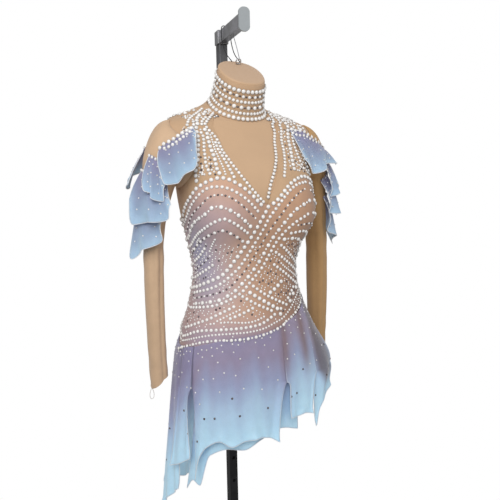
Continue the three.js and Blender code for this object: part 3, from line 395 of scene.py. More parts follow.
# How much room a bead keeps to the next, by kind in mm, and how much more each group of rows has.
GAP_IN_ROW = {"L": 0.9, "M": 0.9, "S": 0.7, "D": 1.0, "T": 5.0}
ROW_ROOM = {"body": 2.8, "strap": 1.0, "back": 2.8, "collar": 0.9, "seam": 1.4}
SEAM_LIFT = 0.5
HIP_LIFT = 0.8  # how far the beads of the hip rows stand off the petals' tops
BEADS_APART = 0.84  # the least distance of two beads, as a share of their radii together
STONE_SHARE = 0.92  # a dark stone's size, as a share of a small pearl's
PEARL_DOME = {"flat": 0.86, "rings": 4}
STONE_DOME = {"flat": 0.6, "rings": 2}
# Painted shade: the pearls' feet are darker, for the shadow round each sewn bead. Heights on the dome and
# the tone there.
FOOT_PAINTED_SHADE = {"height": [0.0, 0.34, 0.62], "tone": [0.22, 0.8, 1.0]}
PEARL_TONE = {"range": 0.05, "turn": 2.399}

# ---------------------------------------------------------------- shades and streaks of the dye, and painted light and shade
CORD_COLOUR = (0.13, 0.13, 0.14)
LOOP_COLOUR = (0.9, 0.88, 0.86)
CAP_SHADE = (0.99, 1.0, 1.03)
# Painted light and shade: the wearer's right sleeve is painted lighter, for its side in the light, and the
# left one darker, for its side in shade.
SLEEVE_LIGHT_AND_SHADE = {"right": (1.05, 1.07, 1.1), "left": (0.95, 0.91, 0.78)}
CUFF_SHADE = {"fade": 0.9, "rim": 0.93}
COLLAR_SHADE = 0.97
BRIEFS_SHADE = 0.96
STREAK_SHADE = (0.93, 0.96, 1.08)
# Painted shade: the colour of the shadow painted on the front of the side flap, as shares of umber.
FLAP_SHADOW_TONE = (0.74, 0.86, 1.06)
# Clouds on the bodice: the dye, the middle in t and h, the spread both ways and the strength. The umber
# clouds towards the wearer's left side are partly dye and partly painted shade, for the side turned from the
# light.
CLOUDS = (
    ("rose", (-44, 128), (24, 40), 0.75), ("lilac", (-76, 50), (24, 64), 0.85),
    ("lilac", (-62, -36), (26, 44), 0.5), ("umber", (2, 40), (16, 90), 0.4),
    ("umber", (66, 70), (30, 120), 1.0), ("umber", (44, -44), (16, 40), 0.8),
    ("mauve", (-40, -140), (60, 26), 0.75), ("umber", (118, 20), (34, 130), 0.5),
    ("umber", (34, -88), (24, 26), 0.7), ("rose", (180, 40), (40, 90), 0.7),
    ("mauve", (180, -80), (60, 40), 0.7),
)
# Waves of the streaks: height, how many to a turn, and where each starts.
SKIRT_STREAKS = ((0.7, 19, 8.55 + np.pi / 2), (0.6, 8, 0.6), (0.4, 37, 1.0))
RUFFLE_STREAKS = ((0.06, 11, 0.8), (0.04, 23, 0.0))
# Where the skirt turns blue: between a height and a place above the hem, later at the wearer's left.
DIP = {"high": -205.0, "above_hem": 125.0, "share": 0.65, "later": 22.0, "later_from": 5.0,
       "later_over": 25.0, "ragged": 11.0, "fade": 135.0}
ROSY = {"most": 0.35, "from": -62.0, "over": 30.0}
BROWN_STREAKS = ((0.6, 13, 4.0), (0.7, 34, 4.5))  # strength, angle and width
BROWN_DROP = {"from": -262.0, "over": 90.0}
# Where the painted shadow lies on the side flap: from and over in t, where it ends and fades, how far above
# the hem it starts and rises, and how dark it gets.
FLAP_PAINTED_SHADE = {"from": 44.0, "over": 8.0, "to": 62.0, "fade": 16.0, "above_hem": -5.0, "rise": 60.0,
             "most": 0.85}


# ---------------------------------------------------------------- settings
def colour_setting(name, value, text):
    return FloatVectorProperty(
        name=name, description=text, default=value, size=3, min=0.0, max=1.0, subtype="COLOR_GAMMA")


def length_setting(name, value, text):
    return FloatProperty(name=name, description=text, default=value, min=0.0005, unit="LENGTH")


class DressSettings(bpy.types.PropertyGroup):
    """Sizes and colours of the dress that a maker would change."""
    large: length_setting("Large pearl", 0.0102, "Diameter of the largest pearls")
    medium: length_setting("Medium pearl", 0.0082, "Diameter of the pearls in most rows")
    small: length_setting("Small pearl", 0.0056, "Diameter of the pearls between the large ones")
    tiny: length_setting("Tiny bead", 0.0036, "Diameter of the beads strewn over the cloth")
    rolled_edge: length_setting("Rolled edge", 0.0020, "Thickness of the rolled hem of the chiffon")
    pearl: colour_setting("Pearl", (0.99, 0.98, 0.97), "Colour of the pearls")
    stone: colour_setting("Dark stone", (0.30, 0.25, 0.27), "Colour of the cut stones")
    nude: colour_setting("Nude mesh", (0.79, 0.655, 0.52), "Colour of the yokes and sleeves")
    cover: colour_setting("Form cover", (0.80, 0.665, 0.53), "Colour of the dress form")
    peach: colour_setting("Peach", (0.84, 0.67, 0.54), "Dye of the cups and the middle of the bodice")
    rose: colour_setting("Rose", (0.70, 0.60, 0.61), "Dye of the bodice at the wearer's right")
    # Umber is partly painted shade: on the bodice it darkens the wearer's left side, turned from the light.
    umber: colour_setting("Umber", (0.56, 0.43, 0.36), "Dye of the bodice at the wearer's left side")
    mauve: colour_setting("Mauve", (0.58, 0.56, 0.69), "Dye at the hips and at the ruffles' seams")
    lilac: colour_setting("Lilac", (0.62, 0.65, 0.78), "Dye between mauve and ice blue")
    ice: colour_setting("Ice blue", (0.74, 0.89, 1.0), "Dye of the hems")
    hem: colour_setting("Hem", (0.93, 0.96, 1.0), "Thread of the rolled edges")
    skirt_folds: IntProperty(name="Skirt folds", description="Extra soft folds across each petal",
                             default=3, min=1, max=8)


# ---------------------------------------------------------------- curves
def smooth(share):
    """Rises from 0 to 1 as the share does, level at both ends: 3 s^2 - 2 s^3."""
    s = np.clip(share, 0.0, 1.0)
    return s * s * (3 - 2 * s)


def mix(a, b, share):
    """The straight way from a to b."""
    return a + (b - a) * share


def unit(vectors):
    """The same directions with length 1."""
    return vectors / np.maximum(np.linalg.norm(vectors, axis=-1, keepdims=True), 1e-9)


def through(x, y):
    """A cubic through the points that never overshoots: each inner slope is the harmonic mean of the
    rises on its two sides, or 0 where they differ in sign."""
    rise = np.diff(y) / np.diff(x)
    before, after = rise[:-1], rise[1:]
    same = before * after > 0
    inner = np.where(same, 2 * before * after / np.where(same, before + after, 1), 0)
    slope = np.concatenate([rise[:1], inner, rise[-1:]])

    def at(value):
        v = np.clip(value, x[0], x[-1])
        i = np.clip(np.searchsorted(x, v, side="right") - 1, 0, len(x) - 2)
        step = x[i + 1] - x[i]
        s = (v - x[i]) / step
        start = y[i] * (1 + 2 * s) * (1 - s) ** 2 + step * slope[i] * s * (1 - s) ** 2
        return start + y[i + 1] * s * s * (3 - 2 * s) + step * slope[i + 1] * s * s * (s - 1)
    return at


def evenly(rows, key):
    """The same through a table's rows, evenly spaced from 0 to 1."""
    return through(np.linspace(0, 1, len(rows[key])), rows[key])


def catmull_rom(points, count):
    """A smooth curve through a few points: a Catmull-Rom spline with end points repeated."""
    p = np.array(points, float)
    p = np.concatenate([2 * p[:1] - p[1:2], p, 2 * p[-1:] - p[-2:-1]])
    at = np.linspace(0, len(p) - 3 - 1e-6, count)
    i = at.astype(int)
    s = (at - i)[:, None]
    a, b, c, d = p[i], p[i + 1], p[i + 2], p[i + 3]
    cubic = (2 * b + (c - a) * s + (2 * a - 5 * b + 4 * c - d) * s ** 2
             + (3 * b - a - 3 * c + d) * s ** 3)
    return cubic / 2


form_at = {key: through(FORM["h"], FORM[key]) for key in ("half", "front", "back", "y", "tilt")}
top_line_at = through(TOP_LINE["t"], TOP_LINE["h"])
hip_line_at = through(HIP_LINE["t"], HIP_LINE["h"])


def wrapped(t):
    """An angle from -180 to 180 degrees."""
    return (t + 180.0) % 360.0 - 180.0


def top_line(t):
    """The bodice's upper edge, alike on both sides."""
    return top_line_at(np.abs(wrapped(t)))


def hip_line(t):
    """The slanting line where the bodice ends and the skirt begins."""
    return hip_line_at(wrapped(t))


# ---------------------------------------------------------------- the form's skin
def ring_point(t, h):
    """A squared ellipse at height h, deeper before or behind the axis and tilted forward."""
    angle = np.radians(t)
    square = 1 + SQUARENESS * (1 - np.cos(4 * angle)) / 2
    front, back = form_at["front"](h), form_at["back"](h)
    deep = (front + back) / 2 + (front - back) / 2 * np.cos(angle)
    out = -deep * np.cos(angle) * square
    tilt = np.radians(form_at["tilt"](h))
    x = form_at["half"](h) * np.sin(angle) * square
    return np.stack([x, form_at["y"](h) + out * np.cos(tilt), WAIST_HEIGHT + h + out * np.sin(tilt)], -1)


def outward(place, t, h):
    """The unit vector across a surface, from its two differences."""
    return unit(np.cross(place(t + 1, h) - place(t - 1, h), place(t, h + 1) - place(t, h - 1)))


def bust_rise(t, h):
    """How far the cups lift the skin: a Gaussian about the middle of each, longer above it."""
    across = (np.abs(wrapped(t)) - BUST["t"]) / BUST["spread"]
    up = (h - BUST["h"]) / np.where(h > BUST["h"], BUST["above"], BUST["below"])
    return BUST["rise"] * np.exp(-(across ** 2 + up ** 2) / 2)


def busted_point(t, h):
    """The ring's point moved out by the cups' rise."""
    return ring_point(t, h) + outward(ring_point, t, h) * bust_rise(t, h)[..., None]


def skin(t, h, away=0.0):
    """The form's surface, moved out by `away`."""
    t, h, away = np.broadcast_arrays(np.asarray(t, float), np.asarray(h, float), np.asarray(away, float))
    return busted_point(t, h) + outward(busted_point, t, h) * away[..., None]


# ---------------------------------------------------------------- grids and meshes
def grid(us, vs):
    return np.meshgrid(us, vs, indexing="ij")


def quads(wide, high):
    """Corner numbers of the faces of a grid whose point i, j has the number i * high + j."""
    i, j = (a.ravel() for a in grid(np.arange(wide - 1), np.arange(high - 1)))
    return np.stack([i * high + j, (i + 1) * high + j, (i + 1) * high + j + 1, i * high + j + 1], -1)


def normals(points, round_u=False):
    """The unit vector across each point of a grid, from its neighbours both ways."""
    if round_u:
        across = np.roll(points, -1, 0) - np.roll(points, 1, 0)
    else:
        across = np.gradient(points, axis=0)
    return unit(np.cross(across, np.gradient(points, axis=1)))


def volume(points, faces):
    """Signed volume of a closed body: a sixth of the triple products of its triangles."""
    total = 0.0
    for face in faces:
        for k in range(1, face.shape[1] - 1):
            a, b, c = points[face[:, 0]], points[face[:, k]], points[face[:, k + 1]]
            total += np.einsum("ij,ij->", a, np.cross(b, c))
    return total / 6


def part(points, faces, tint, uv=None):
    """A closed body, its faces turned outwards: points n x 3, faces a list of arrays of corners."""
    if volume(points - points.mean(0), faces) < 0:
        faces = [face[:, ::-1] for face in faces]
    tint = np.broadcast_to(np.asarray(tint, float), points.shape)
    uv = np.zeros((len(points), 2)) if uv is None else uv
    return {"points": points, "faces": faces, "tint": tint, "uv": uv}


def wall(outer, inner, tint, round_u=False):
    """A closed wall between two grids of the same size. A round one joins its last column to its first.
    The UV map is the length along the middle row and column, in metres."""
    wide, high = outer.shape[:2]
    count = wide * high
    number = np.arange(count).reshape(wide, high)
    if round_u:
        number = np.concatenate([number, number[:1]])
        loops = [number[:, 0], number[::-1, -1]]
    else:
        loops = [np.concatenate([number[:-1, 0], number[-1, :-1], number[:0:-1, -1], number[0, ::-1]])]
    side = number.ravel()[quads(*number.shape)]
    faces = [side, side[:, ::-1] + count]
    for loop in loops:
        a, b = loop[:-1], loop[1:]
        faces.append(np.stack([b, a, a + count, b + count], -1))
    along = np.linalg.norm(np.diff(outer[:, high // 2], axis=0), axis=-1)
    up = np.linalg.norm(np.diff(outer[wide // 2], axis=0), axis=-1)
    u, v = grid(np.append(0, np.cumsum(along)), np.append(0, np.cumsum(up)))
    uv = np.tile(np.stack([u, v], -1).reshape(-1, 2) * MM, (2, 1))
    tint = np.tile(np.broadcast_to(tint, outer.shape).reshape(-1, 3), (2, 1))
    points = np.concatenate([outer.reshape(-1, 3), inner.reshape(-1, 3)])
    return part(points, faces, tint, uv)


def cloth(middle, tint, thick=CLOTH, round_u=False):
    """A wall of cloth, half on each side of a grid of points."""
    across = normals(middle, round_u) * thick / 2
    return wall(middle + across, middle - across, tint, round_u)


def tube(path, radius, side, tint=(1, 1, 1), sides=8, closed=False):
    """A round cord: circles about a path's points, in the plane across it. `side` is a direction,
    or one for each point, that is never along the path."""
    path = np.asarray(path, float)
    forward = np.roll(path, -1, 0) - np.roll(path, 1, 0) if closed else np.gradient(path, axis=0)
    forward = unit(forward)
    a = unit(np.cross(forward, np.broadcast_to(side, path.shape)))
    b = np.cross(forward, a)
    angle = np.linspace(0, 2 * np.pi, sides, endpoint=False)
    radius = np.broadcast_to(radius, len(path))[:, None, None]
    ring = a[:, None] * np.cos(angle)[:, None] + b[:, None] * np.sin(angle)[:, None]
    points = (path[:, None] + ring * radius).reshape(-1, 3)
    number = np.arange(len(points)).reshape(len(path), sides)
    number = np.concatenate([number, number[:, :1]], 1)
    if closed:
        number = np.concatenate([number, number[:1]])
        faces = [number.ravel()[quads(*number.shape)]]
    else:
        faces = [number.ravel()[quads(*number.shape)], number[:1, :-1], number[-1:, -2::-1]]
    if np.ndim(tint) > 1:
        tint = np.repeat(tint, sides, 0)
    return part(points, faces, tint)


SHARPER_THAN = np.radians(50)


def piece(name, parts, finish, nodes=()):
    """Joins parts into one object of one finish that rides on the body and stands for nodes."""
    offsets = np.cumsum([0] + [len(p["points"]) for p in parts])
    points = np.concatenate([p["points"] for p in parts]) * MM
    tint = np.concatenate([p["tint"] for p in parts])
    uv = np.concatenate([p["uv"] for p in parts])
    faces = [face + first for p, first in zip(parts, offsets) for face in p["faces"]]
    corners = np.concatenate([face.ravel() for face in faces]).astype(np.int32)
    sizes = np.concatenate([np.full(len(face), face.shape[1]) for face in faces])
    starts = np.append(0, np.cumsum(sizes)[:-1]).astype(np.int32)
    mesh = bpy.data.meshes.new(name)
    mesh.vertices.add(len(points))
    mesh.vertices.foreach_set("co", points.ravel())
    mesh.loops.add(len(corners))
    mesh.loops.foreach_set("vertex_index", corners)
    mesh.polygons.add(len(sizes))
    mesh.polygons.foreach_set("loop_start", starts)
    mesh.polygons.foreach_set("use_smooth", np.ones(len(sizes), bool))
    mesh.update(calc_edges=True)
    colours = mesh.attributes.new("tint", "FLOAT_COLOR", "POINT")
    colours.data.foreach_set("color", np.append(tint, np.ones((len(tint), 1)), 1).ravel())
    mesh.uv_layers.new(name="cloth").data.foreach_set("uv", uv[corners].ravel())
    mesh.set_sharp_from_angle(angle=SHARPER_THAN)
    made = bpy.data.objects.new(name, mesh)
    bpy.context.collection.objects.link(made)
    mesh.materials.append(finish_named(finish))
    if nodes:
        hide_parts(*nodes)
    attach(made, "root")
    return made


def free_edge(rows, start, end):
    """The sides and the hem of a grid that hangs from its top: down its first column from row `start`,
    along the last row and up its last column as far as row `end`."""
    return np.concatenate([rows[0, start:-1], rows[:, -1], rows[-1, -2:end:-1]])


# ---------------------------------------------------------------- colours and materials
def linear(colour):
    """From the numbers that a picture stores to the amounts of light that they stand for."""
    c = np.asarray(colour, float)
    return np.where(c <= 0.04045, c / 12.92, ((c + 0.055) / 1.055) ** 2.4)


def shaded(colour, share):
    """A colour lighter or darker by one share, or by one for each of its three parts."""
    return np.array(colour) * np.array(share)


def along_colours(stops, colours, share):
    """Colours blended along a share: a straight run between each two stops."""
    colours = np.array([linear(c) for c in colours])
    return np.stack([np.interp(share, stops, colours[:, k]) for k in range(3)], -1)


def add_node(tree, kind, inputs=None, **settings):
    """Adds a shader node. An input is a number, a colour or another node's output."""
    node = tree.nodes.new("ShaderNode" + kind)
    for name, value in settings.items():
        setattr(node, name, value)
    for name, value in (inputs or {}).items():
        if isinstance(value, bpy.types.NodeSocket):
            tree.links.new(value, node.inputs[name])
        else:
            node.inputs[name].default_value = value
    return node


def new_material(name, sockets):
    """A material whose uniform values are set on the shader's own sockets."""
    material = bpy.data.materials.new(name)
    material.use_nodes = True
    surface = material.node_tree.nodes["Principled BSDF"]
    for socket, value in sockets.items():
        surface.inputs[socket].default_value = value
    return material, material.node_tree, surface


def darkened(tree, colour, value, low, high, dark):
    """A colour times a grey that runs from `dark` to 1 while a value runs from low to high."""
    shade = add_node(tree, "MapRange", {"Value": value, "From Min": low, "From Max": high,
                                        "To Min": dark, "To Max": 1.0})
    grey = add_node(tree, "CombineColor", {k: shade.outputs["Result"] for k in ("Red", "Green", "Blue")})
    product = add_node(tree, "Mix", data_type="RGBA", blend_type="MULTIPLY")
    product.inputs["Factor"].default_value = 1.0
    tree.links.new(colour, product.inputs["A"])
    tree.links.new(grey.outputs["Color"], product.inputs["B"])
    return product.outputs["Result"]


def mottled(tree, colour, scale, dark, vector):
    """A colour that a soft noise darkens by up to 1 - dark."""
    noise = add_node(tree, "TexNoise", {"Vector": vector, "Scale": scale, "Detail": 4.0, "Roughness": 0.6})
    return darkened(tree, colour, noise.outputs["Fac"], 0.3, 0.7, dark)


def cloth_material(name, roughness, sheen, thread, weave, crease, sheer=0.0):
    """Dyed cloth: the piece's own tint, mottled a little, with crossed threads and fine creases as
    bumps. `thread` is the distance between threads in metres, and `sheer` how much light goes
    through."""
    material, tree, surface = new_material(name, {
        "Roughness": roughness, "Sheen Weight": sheen, "Sheen Roughness": 0.4,
        "Subsurface Weight": sheer, "Subsurface Radius": (1.0, 1.0, 1.0), "Subsurface Scale": 0.004,
        "Specular IOR Level": 0.35})
    tint = add_node(tree, "Attribute", attribute_name="tint")
    place = add_node(tree, "TexCoord").outputs["Object"]
    cut = add_node(tree, "UVMap", uv_map="cloth").outputs["UV"]
    colour = mottled(tree, tint.outputs["Color"], 55.0, 0.93, place)
    colour = mottled(tree, colour, 700.0, 0.94, place)
    tree.links.new(colour, surface.inputs["Base Color"])
    scale = 2 * np.pi / (20 * thread)
    waves = [add_node(tree, "TexWave", {"Vector": cut, "Scale": scale}, bands_direction=axis)
             for axis in ("X", "Y")]
    threads = add_node(tree, "Math", operation="MAXIMUM")
    for socket, wave in zip(threads.inputs, waves):
        tree.links.new(wave.outputs["Fac"], socket)
    fine = add_node(tree, "Bump", {"Height": threads.outputs[0], "Strength": weave, "Distance": thread / 2})
    noise = add_node(tree, "TexNoise", {"Vector": place, "Scale": 38.0, "Detail": 3.0, "Distortion": 0.6})
    soft = add_node(tree, "Bump", {"Height": noise.outputs["Fac"], "Strength": crease, "Distance": 0.004,
                                   "Normal": fine.outputs["Normal"]})
    tree.links.new(soft.outputs["Normal"], surface.inputs["Normal"])
    return material


def pearl_material(name, roughness, coat):
    """Pearl or cut stone: glossy, with a slight cloud in its own tint."""
    material, tree, surface = new_material(name, {
        "Roughness": roughness, "Coat Weight": coat, "Coat Roughness": 0.08,
        "Specular IOR Level": 0.6})
    place = add_node(tree, "TexCoord").outputs["Object"]
    base = add_node(tree, "Attribute", attribute_name="tint")
    tree.links.new(mottled(tree, base.outputs["Color"], 160.0, 0.9, place), surface.inputs["Base Color"])
    return material


def plastic_material(name, colour, roughness):
    """A matt moulded cap."""
    material, tree, surface = new_material(name, {"Roughness": roughness, "Specular IOR Level": 0.4})
    place = add_node(tree, "TexCoord").outputs["Object"]
    base = add_node(tree, "RGB")
    base.outputs[0].default_value = (*linear(colour), 1)
    tree.links.new(mottled(tree, base.outputs[0], 60.0, 0.94, place), surface.inputs["Base Color"])
    return material


def steel_material(name, grey, roughness, shade=None):
    """Worn steel: fine brush lines along the bar, with darker rubbed patches. `shade` gives two
    heights and how dark the steel is below the first of them."""
    material, tree, surface = new_material(name, {"Metallic": 0.85, "Specular IOR Level": 0.5})
    place = add_node(tree, "TexCoord").outputs["Object"]
    stretched = add_node(tree, "Mapping", {"Vector": place, "Scale": (1.0, 1.0, 0.04)})
    lines = add_node(tree, "TexNoise", {"Vector": stretched.outputs["Vector"], "Scale": 900.0,
                                        "Detail": 3.0})
    patches = add_node(tree, "TexNoise", {"Vector": place, "Scale": 26.0, "Detail": 5.0, "Roughness": 0.65})
    ramp = add_node(tree, "ValToRGB", {"Fac": patches.outputs["Fac"]})
    ramp.color_ramp.elements[0].position = 0.3
    ramp.color_ramp.elements[0].color = (*linear([grey * 0.72] * 3), 1)
    ramp.color_ramp.elements[1].position = 0.7
    ramp.color_ramp.elements[1].color = (*linear((grey, grey, grey * 1.03)), 1)
    colour = ramp.outputs["Color"]
    if shade:
        height = add_node(tree, "SeparateXYZ", {"Vector": place}).outputs["Z"]
        colour = darkened(tree, colour, height, shade["from"], shade["to"], shade["least"])
    tree.links.new(colour, surface.inputs["Base Color"])
    rough = add_node(tree, "MapRange", {"Value": patches.outputs["Fac"], "To Min": roughness - 0.12,
                                        "To Max": roughness + 0.14})
    tree.links.new(rough.outputs["Result"], surface.inputs["Roughness"])
    bump = add_node(tree, "Bump", {"Height": lines.outputs["Fac"], "Strength": 0.25, "Distance": 0.0003})
    tree.links.new(bump.outputs["Normal"], surface.inputs["Normal"])
    return material


def cover_material(name, roughness):
    """The form's tight jersey cover: fine knit bumps and a faint cloud in its tan."""
    material, tree, surface = new_material(name, {
        "Roughness": roughness, "Sheen Weight": 0.15, "Specular IOR Level": 0.4})
    place = add_node(tree, "TexCoord").outputs["Object"]
    tint = add_node(tree, "Attribute", attribute_name="tint")
    colour = mottled(tree, tint.outputs["Color"], 14.0, 0.95, place)
    tree.links.new(mottled(tree, colour, 500.0, 0.96, place), surface.inputs["Base Color"])
    knit = add_node(tree, "TexVoronoi", {"Vector": place, "Scale": 900.0})
    bump = add_node(tree, "Bump", {"Height": knit.outputs["Distance"], "Strength": 0.12, "Distance": 0.0006})
    tree.links.new(bump.outputs["Normal"], surface.inputs["Normal"])
    return material


MATERIALS = {}
POST_SHADE = {"from": 0.9, "to": 1.35, "least": 0.16}  # its lower part is nearly black


def finish_named(name):
    """Each finish is made once, when a piece first asks for it."""
    makers = {
        "stretch cloth": lambda: cloth_material("dyed_stretch_cloth", 0.62, 0.25, 0.0011, 0.2, 0.12),
        "nude mesh": lambda: cloth_material("nude_power_mesh", 0.7, 0.2, 0.0014, 0.35, 0.14),
        "chiffon": lambda: cloth_material("dip_dyed_chiffon", 0.66, 0.4, 0.0008, 0.2, 0.22, 0.55),
        "pearl": lambda: pearl_material("white_pearl", 0.22, 0.6),
        "stone": lambda: pearl_material("dark_cut_stone", 0.08, 1.0),
        "steel": lambda: steel_material("worn_steel", 0.66, 0.42),
        "post steel": lambda: steel_material("grey_post_steel", 0.46, 0.5, POST_SHADE),
        "end cap": lambda: plastic_material("pale_end_cap", (0.62, 0.64, 0.65), 0.6),
        "wire": lambda: steel_material("pale_wire", 0.8, 0.35),
        "cord": lambda: cloth_material("black_braid", 0.8, 0.1, 0.0006, 0.6, 0.1),
        "cover": lambda: cover_material("tan_jersey_cover", 0.55),
    }
    if name not in MATERIALS:
        MATERIALS[name] = makers[name]()
    return MATERIALS[name]


def settings():
    return bpy.context.scene.skating_dress


# ---------------------------------------------------------------- cloth colours
def soft_spot(t, h, centre, spread):
    """1 at a place on the body, fading to 0 with distance: a Gaussian in t and h."""
    return np.exp(-((wrapped(t - centre[0]) / spread[0]) ** 2 + ((h - centre[1]) / spread[1]) ** 2) / 2)


def wave_sum(waves, place):
    """A sum of sines: each wave has a height, a count and a start."""
    return sum(height * np.sin(count * place + start) for height, count, start in waves)


def bodice_tint(t, h):
    """Dye of the bodice: peach, with rose, lilac, mauve and umber clouds. The umber clouds are partly dye
    and partly painted shade of the wearer's left side, turned from the light.
    """
    dye = settings()
    tint = np.broadcast_to(linear(dye.peach), t.shape + (3,))
    for name, centre, spread, strength in CLOUDS:
        share = strength * soft_spot(t, h, centre, spread)
        tint = mix(tint, linear(getattr(dye, name)), share[..., None])
    return tint


def dip_dye_and_flap_shade(t, h, hem):
    """Dye of a petal: mauve at the hips, lilac, then ice blue towards the hem, with streaks that run into
    each other. Petals further to the wearer's left are rosier. Brown streaks run down there, and the front
    of the side flap is painted dark: painted shade for the shadow at its slit."""
    dye = settings()
    blue_from = mix(DIP["high"], hem + DIP["above_hem"], DIP["share"])
    blue_from = blue_from + DIP["later"] * smooth((t - DIP["later_from"]) / DIP["later_over"])
    streaks = wave_sum(SKIRT_STREAKS, np.radians(t))
    depth = (blue_from - h - DIP["ragged"] * streaks) / DIP["fade"]
    mauve, rose, lilac, ice = (np.array(colour) for colour in (dye.mauve, dye.rose, dye.lilac, dye.ice))
    rosy = mix(mauve, rose, ROSY["most"] * smooth((t - ROSY["from"]) / ROSY["over"]).mean())
    colours = [mauve, rosy, lilac, mix(lilac, ice, 0.6), ice]
    tint = along_colours([-1.0, -0.3, 0.1, 0.45, 0.9], colours, depth)
    brown = sum(share * np.exp(-((t - middle) / width) ** 2) for share, middle, width in BROWN_STREAKS)
    brown = brown * smooth((h - BROWN_DROP["from"]) / BROWN_DROP["over"])
    # painted shade on the front of the side flap, for the shadow at its slit
    flap_shadow = smooth((t - FLAP_PAINTED_SHADE["from"]) / FLAP_PAINTED_SHADE["over"])
    flap_shadow = flap_shadow * (1 - smooth((t - FLAP_PAINTED_SHADE["to"]) / FLAP_PAINTED_SHADE["fade"]))
    flap_shadow = FLAP_PAINTED_SHADE["most"] * flap_shadow * smooth((h - hem - FLAP_PAINTED_SHADE["above_hem"]) / FLAP_PAINTED_SHADE["rise"])
    tint = mix(tint, linear(shaded(dye.umber, STREAK_SHADE)), brown[..., None])
    return mix(tint, linear(shaded(dye.umber, FLAP_SHADOW_TONE)), flap_shadow[..., None])


def ruffle_tint(u, v):
    """Dye of a ruffle: mauve at the seam to ice blue at the edge, with soft streaks."""
    dye = settings()
    mauve, lilac, ice = (np.array(colour) for colour in (dye.mauve, dye.lilac, dye.ice))
    colours = [mauve * 0.96, lilac * 0.9, mix(lilac, ice, 0.45) * 0.9, mix(lilac, ice, 0.8) * 0.95]
    return along_colours([0, 0.34, 0.66, 1.0], colours, v + wave_sum(RUFFLE_STREAKS, u))


# ---------------------------------------------------------------- form and stand
WELD_DISTANCE = 1e-5


def form_parts():
    """The form: rings of its skin from the bottom to the cap, whose rim is rounded by drawing the last
    rings in towards their centre, and closed at both ends."""
    t = np.linspace(0, 360, 128, endpoint=False)
    heights = np.concatenate([np.linspace(FORM_BOTTOM, FINE_FROM, 70),
                              np.linspace(FINE_FROM + FINE_STEP, FORM_TOP - RIM, 60)])
    rings = skin(*grid(t, heights))
    rim = skin(t, np.full_like(t, FORM_TOP))
    centre = rim.mean(0)
    up = unit(np.cross(rim[32] - rim[0], rim[64] - rim[32]))
    up = up * np.sign(up[2])
    turn = np.radians([0, 18, 36, 54, 72, 90])
    shrink = np.append(1 - RIM / CAP_RADIUS * (1 - np.cos(turn)), CAP_RINGS)
    drop = np.append(RIM * (1 - np.sin(turn)), np.zeros(len(CAP_RINGS)))
    cap = centre + (rim[:, None] - centre) * shrink[:, None] - up * drop[:, None]
    foot = skin(t, np.full_like(t, FORM_BOTTOM))
    bottom = foot.mean(0) + (foot[:, None] - foot.mean(0)) * np.array(FOOT_RINGS)[:, None]
    points = np.concatenate([bottom, rings, cap], 1)
    number = np.arange(points[..., 0].size).reshape(points.shape[:2])
    number = np.concatenate([number, number[:1]])
    faces = [number.ravel()[quads(*number.shape)]]
    cover = settings().cover
    tint = np.broadcast_to(linear(cover), points.shape).copy()
    tint[:, -len(CAP_RINGS) - 2:] = linear(shaded(cover, CAP_SHADE))
    return [part(points.reshape(-1, 3), faces, tint.reshape(-1, 3))]


class DRESS_OT_form(bpy.types.Operator):
    """Builds the limbless dress form in its tight tan cover"""
    bl_idname = "dress.form"
    bl_label = "Dress form"

    def execute(self, context):
        made = piece("form_cover", form_parts(), "cover", ["form_torso"])
        made.modifiers.new("poles", "WELD").merge_threshold = WELD_DISTANCE
        return {"FINISHED"}


class DRESS_OT_stand(bpy.types.Operator):
    """Gives the stand's bars and plates rounded edges and worn steel"""
    bl_idname = "dress.stand"
    bl_label = "Stand"

    def execute(self, context):
        finishes = {"base_plate": "steel", "post": "post steel", "bracket": "steel", "arm": "steel",
                    "arm_end_plate": "end cap"}
        for node, finish in finishes.items():
            made = frame["nodes"][node]
            made.data.materials.clear()
            made.data.materials.append(finish_named(finish))
            made.modifiers.new("joined", "WELD").merge_threshold = WELD_DISTANCE
            edge = made.modifiers.new("eased edges", "BEVEL")
            edge.width = EASED_EDGE["width"]
            edge.segments = EASED_EDGE["segments"]
            edge.limit_method = "ANGLE"
            edge.angle_limit = np.radians(EASED_EDGE["sharper_than"])
        return {"FINISHED"}


def cap_point(x, back, away):
    """A place over the form's tilted cap, in its own directions."""
    c, s = np.cos(np.radians(CAP_TILT)), np.sin(np.radians(CAP_TILT))
    middle = ring_point(np.array(90.0), np.array(FORM_TOP))
    return np.array([x, middle[1] + back * c - away * s, middle[2] + back * s + away * c])


ARM_UNDER = WAIST_HEIGHT + POST["top"] + HOLD_GAP + BRACKET["height"] / 2 - ARM["height"] / 2


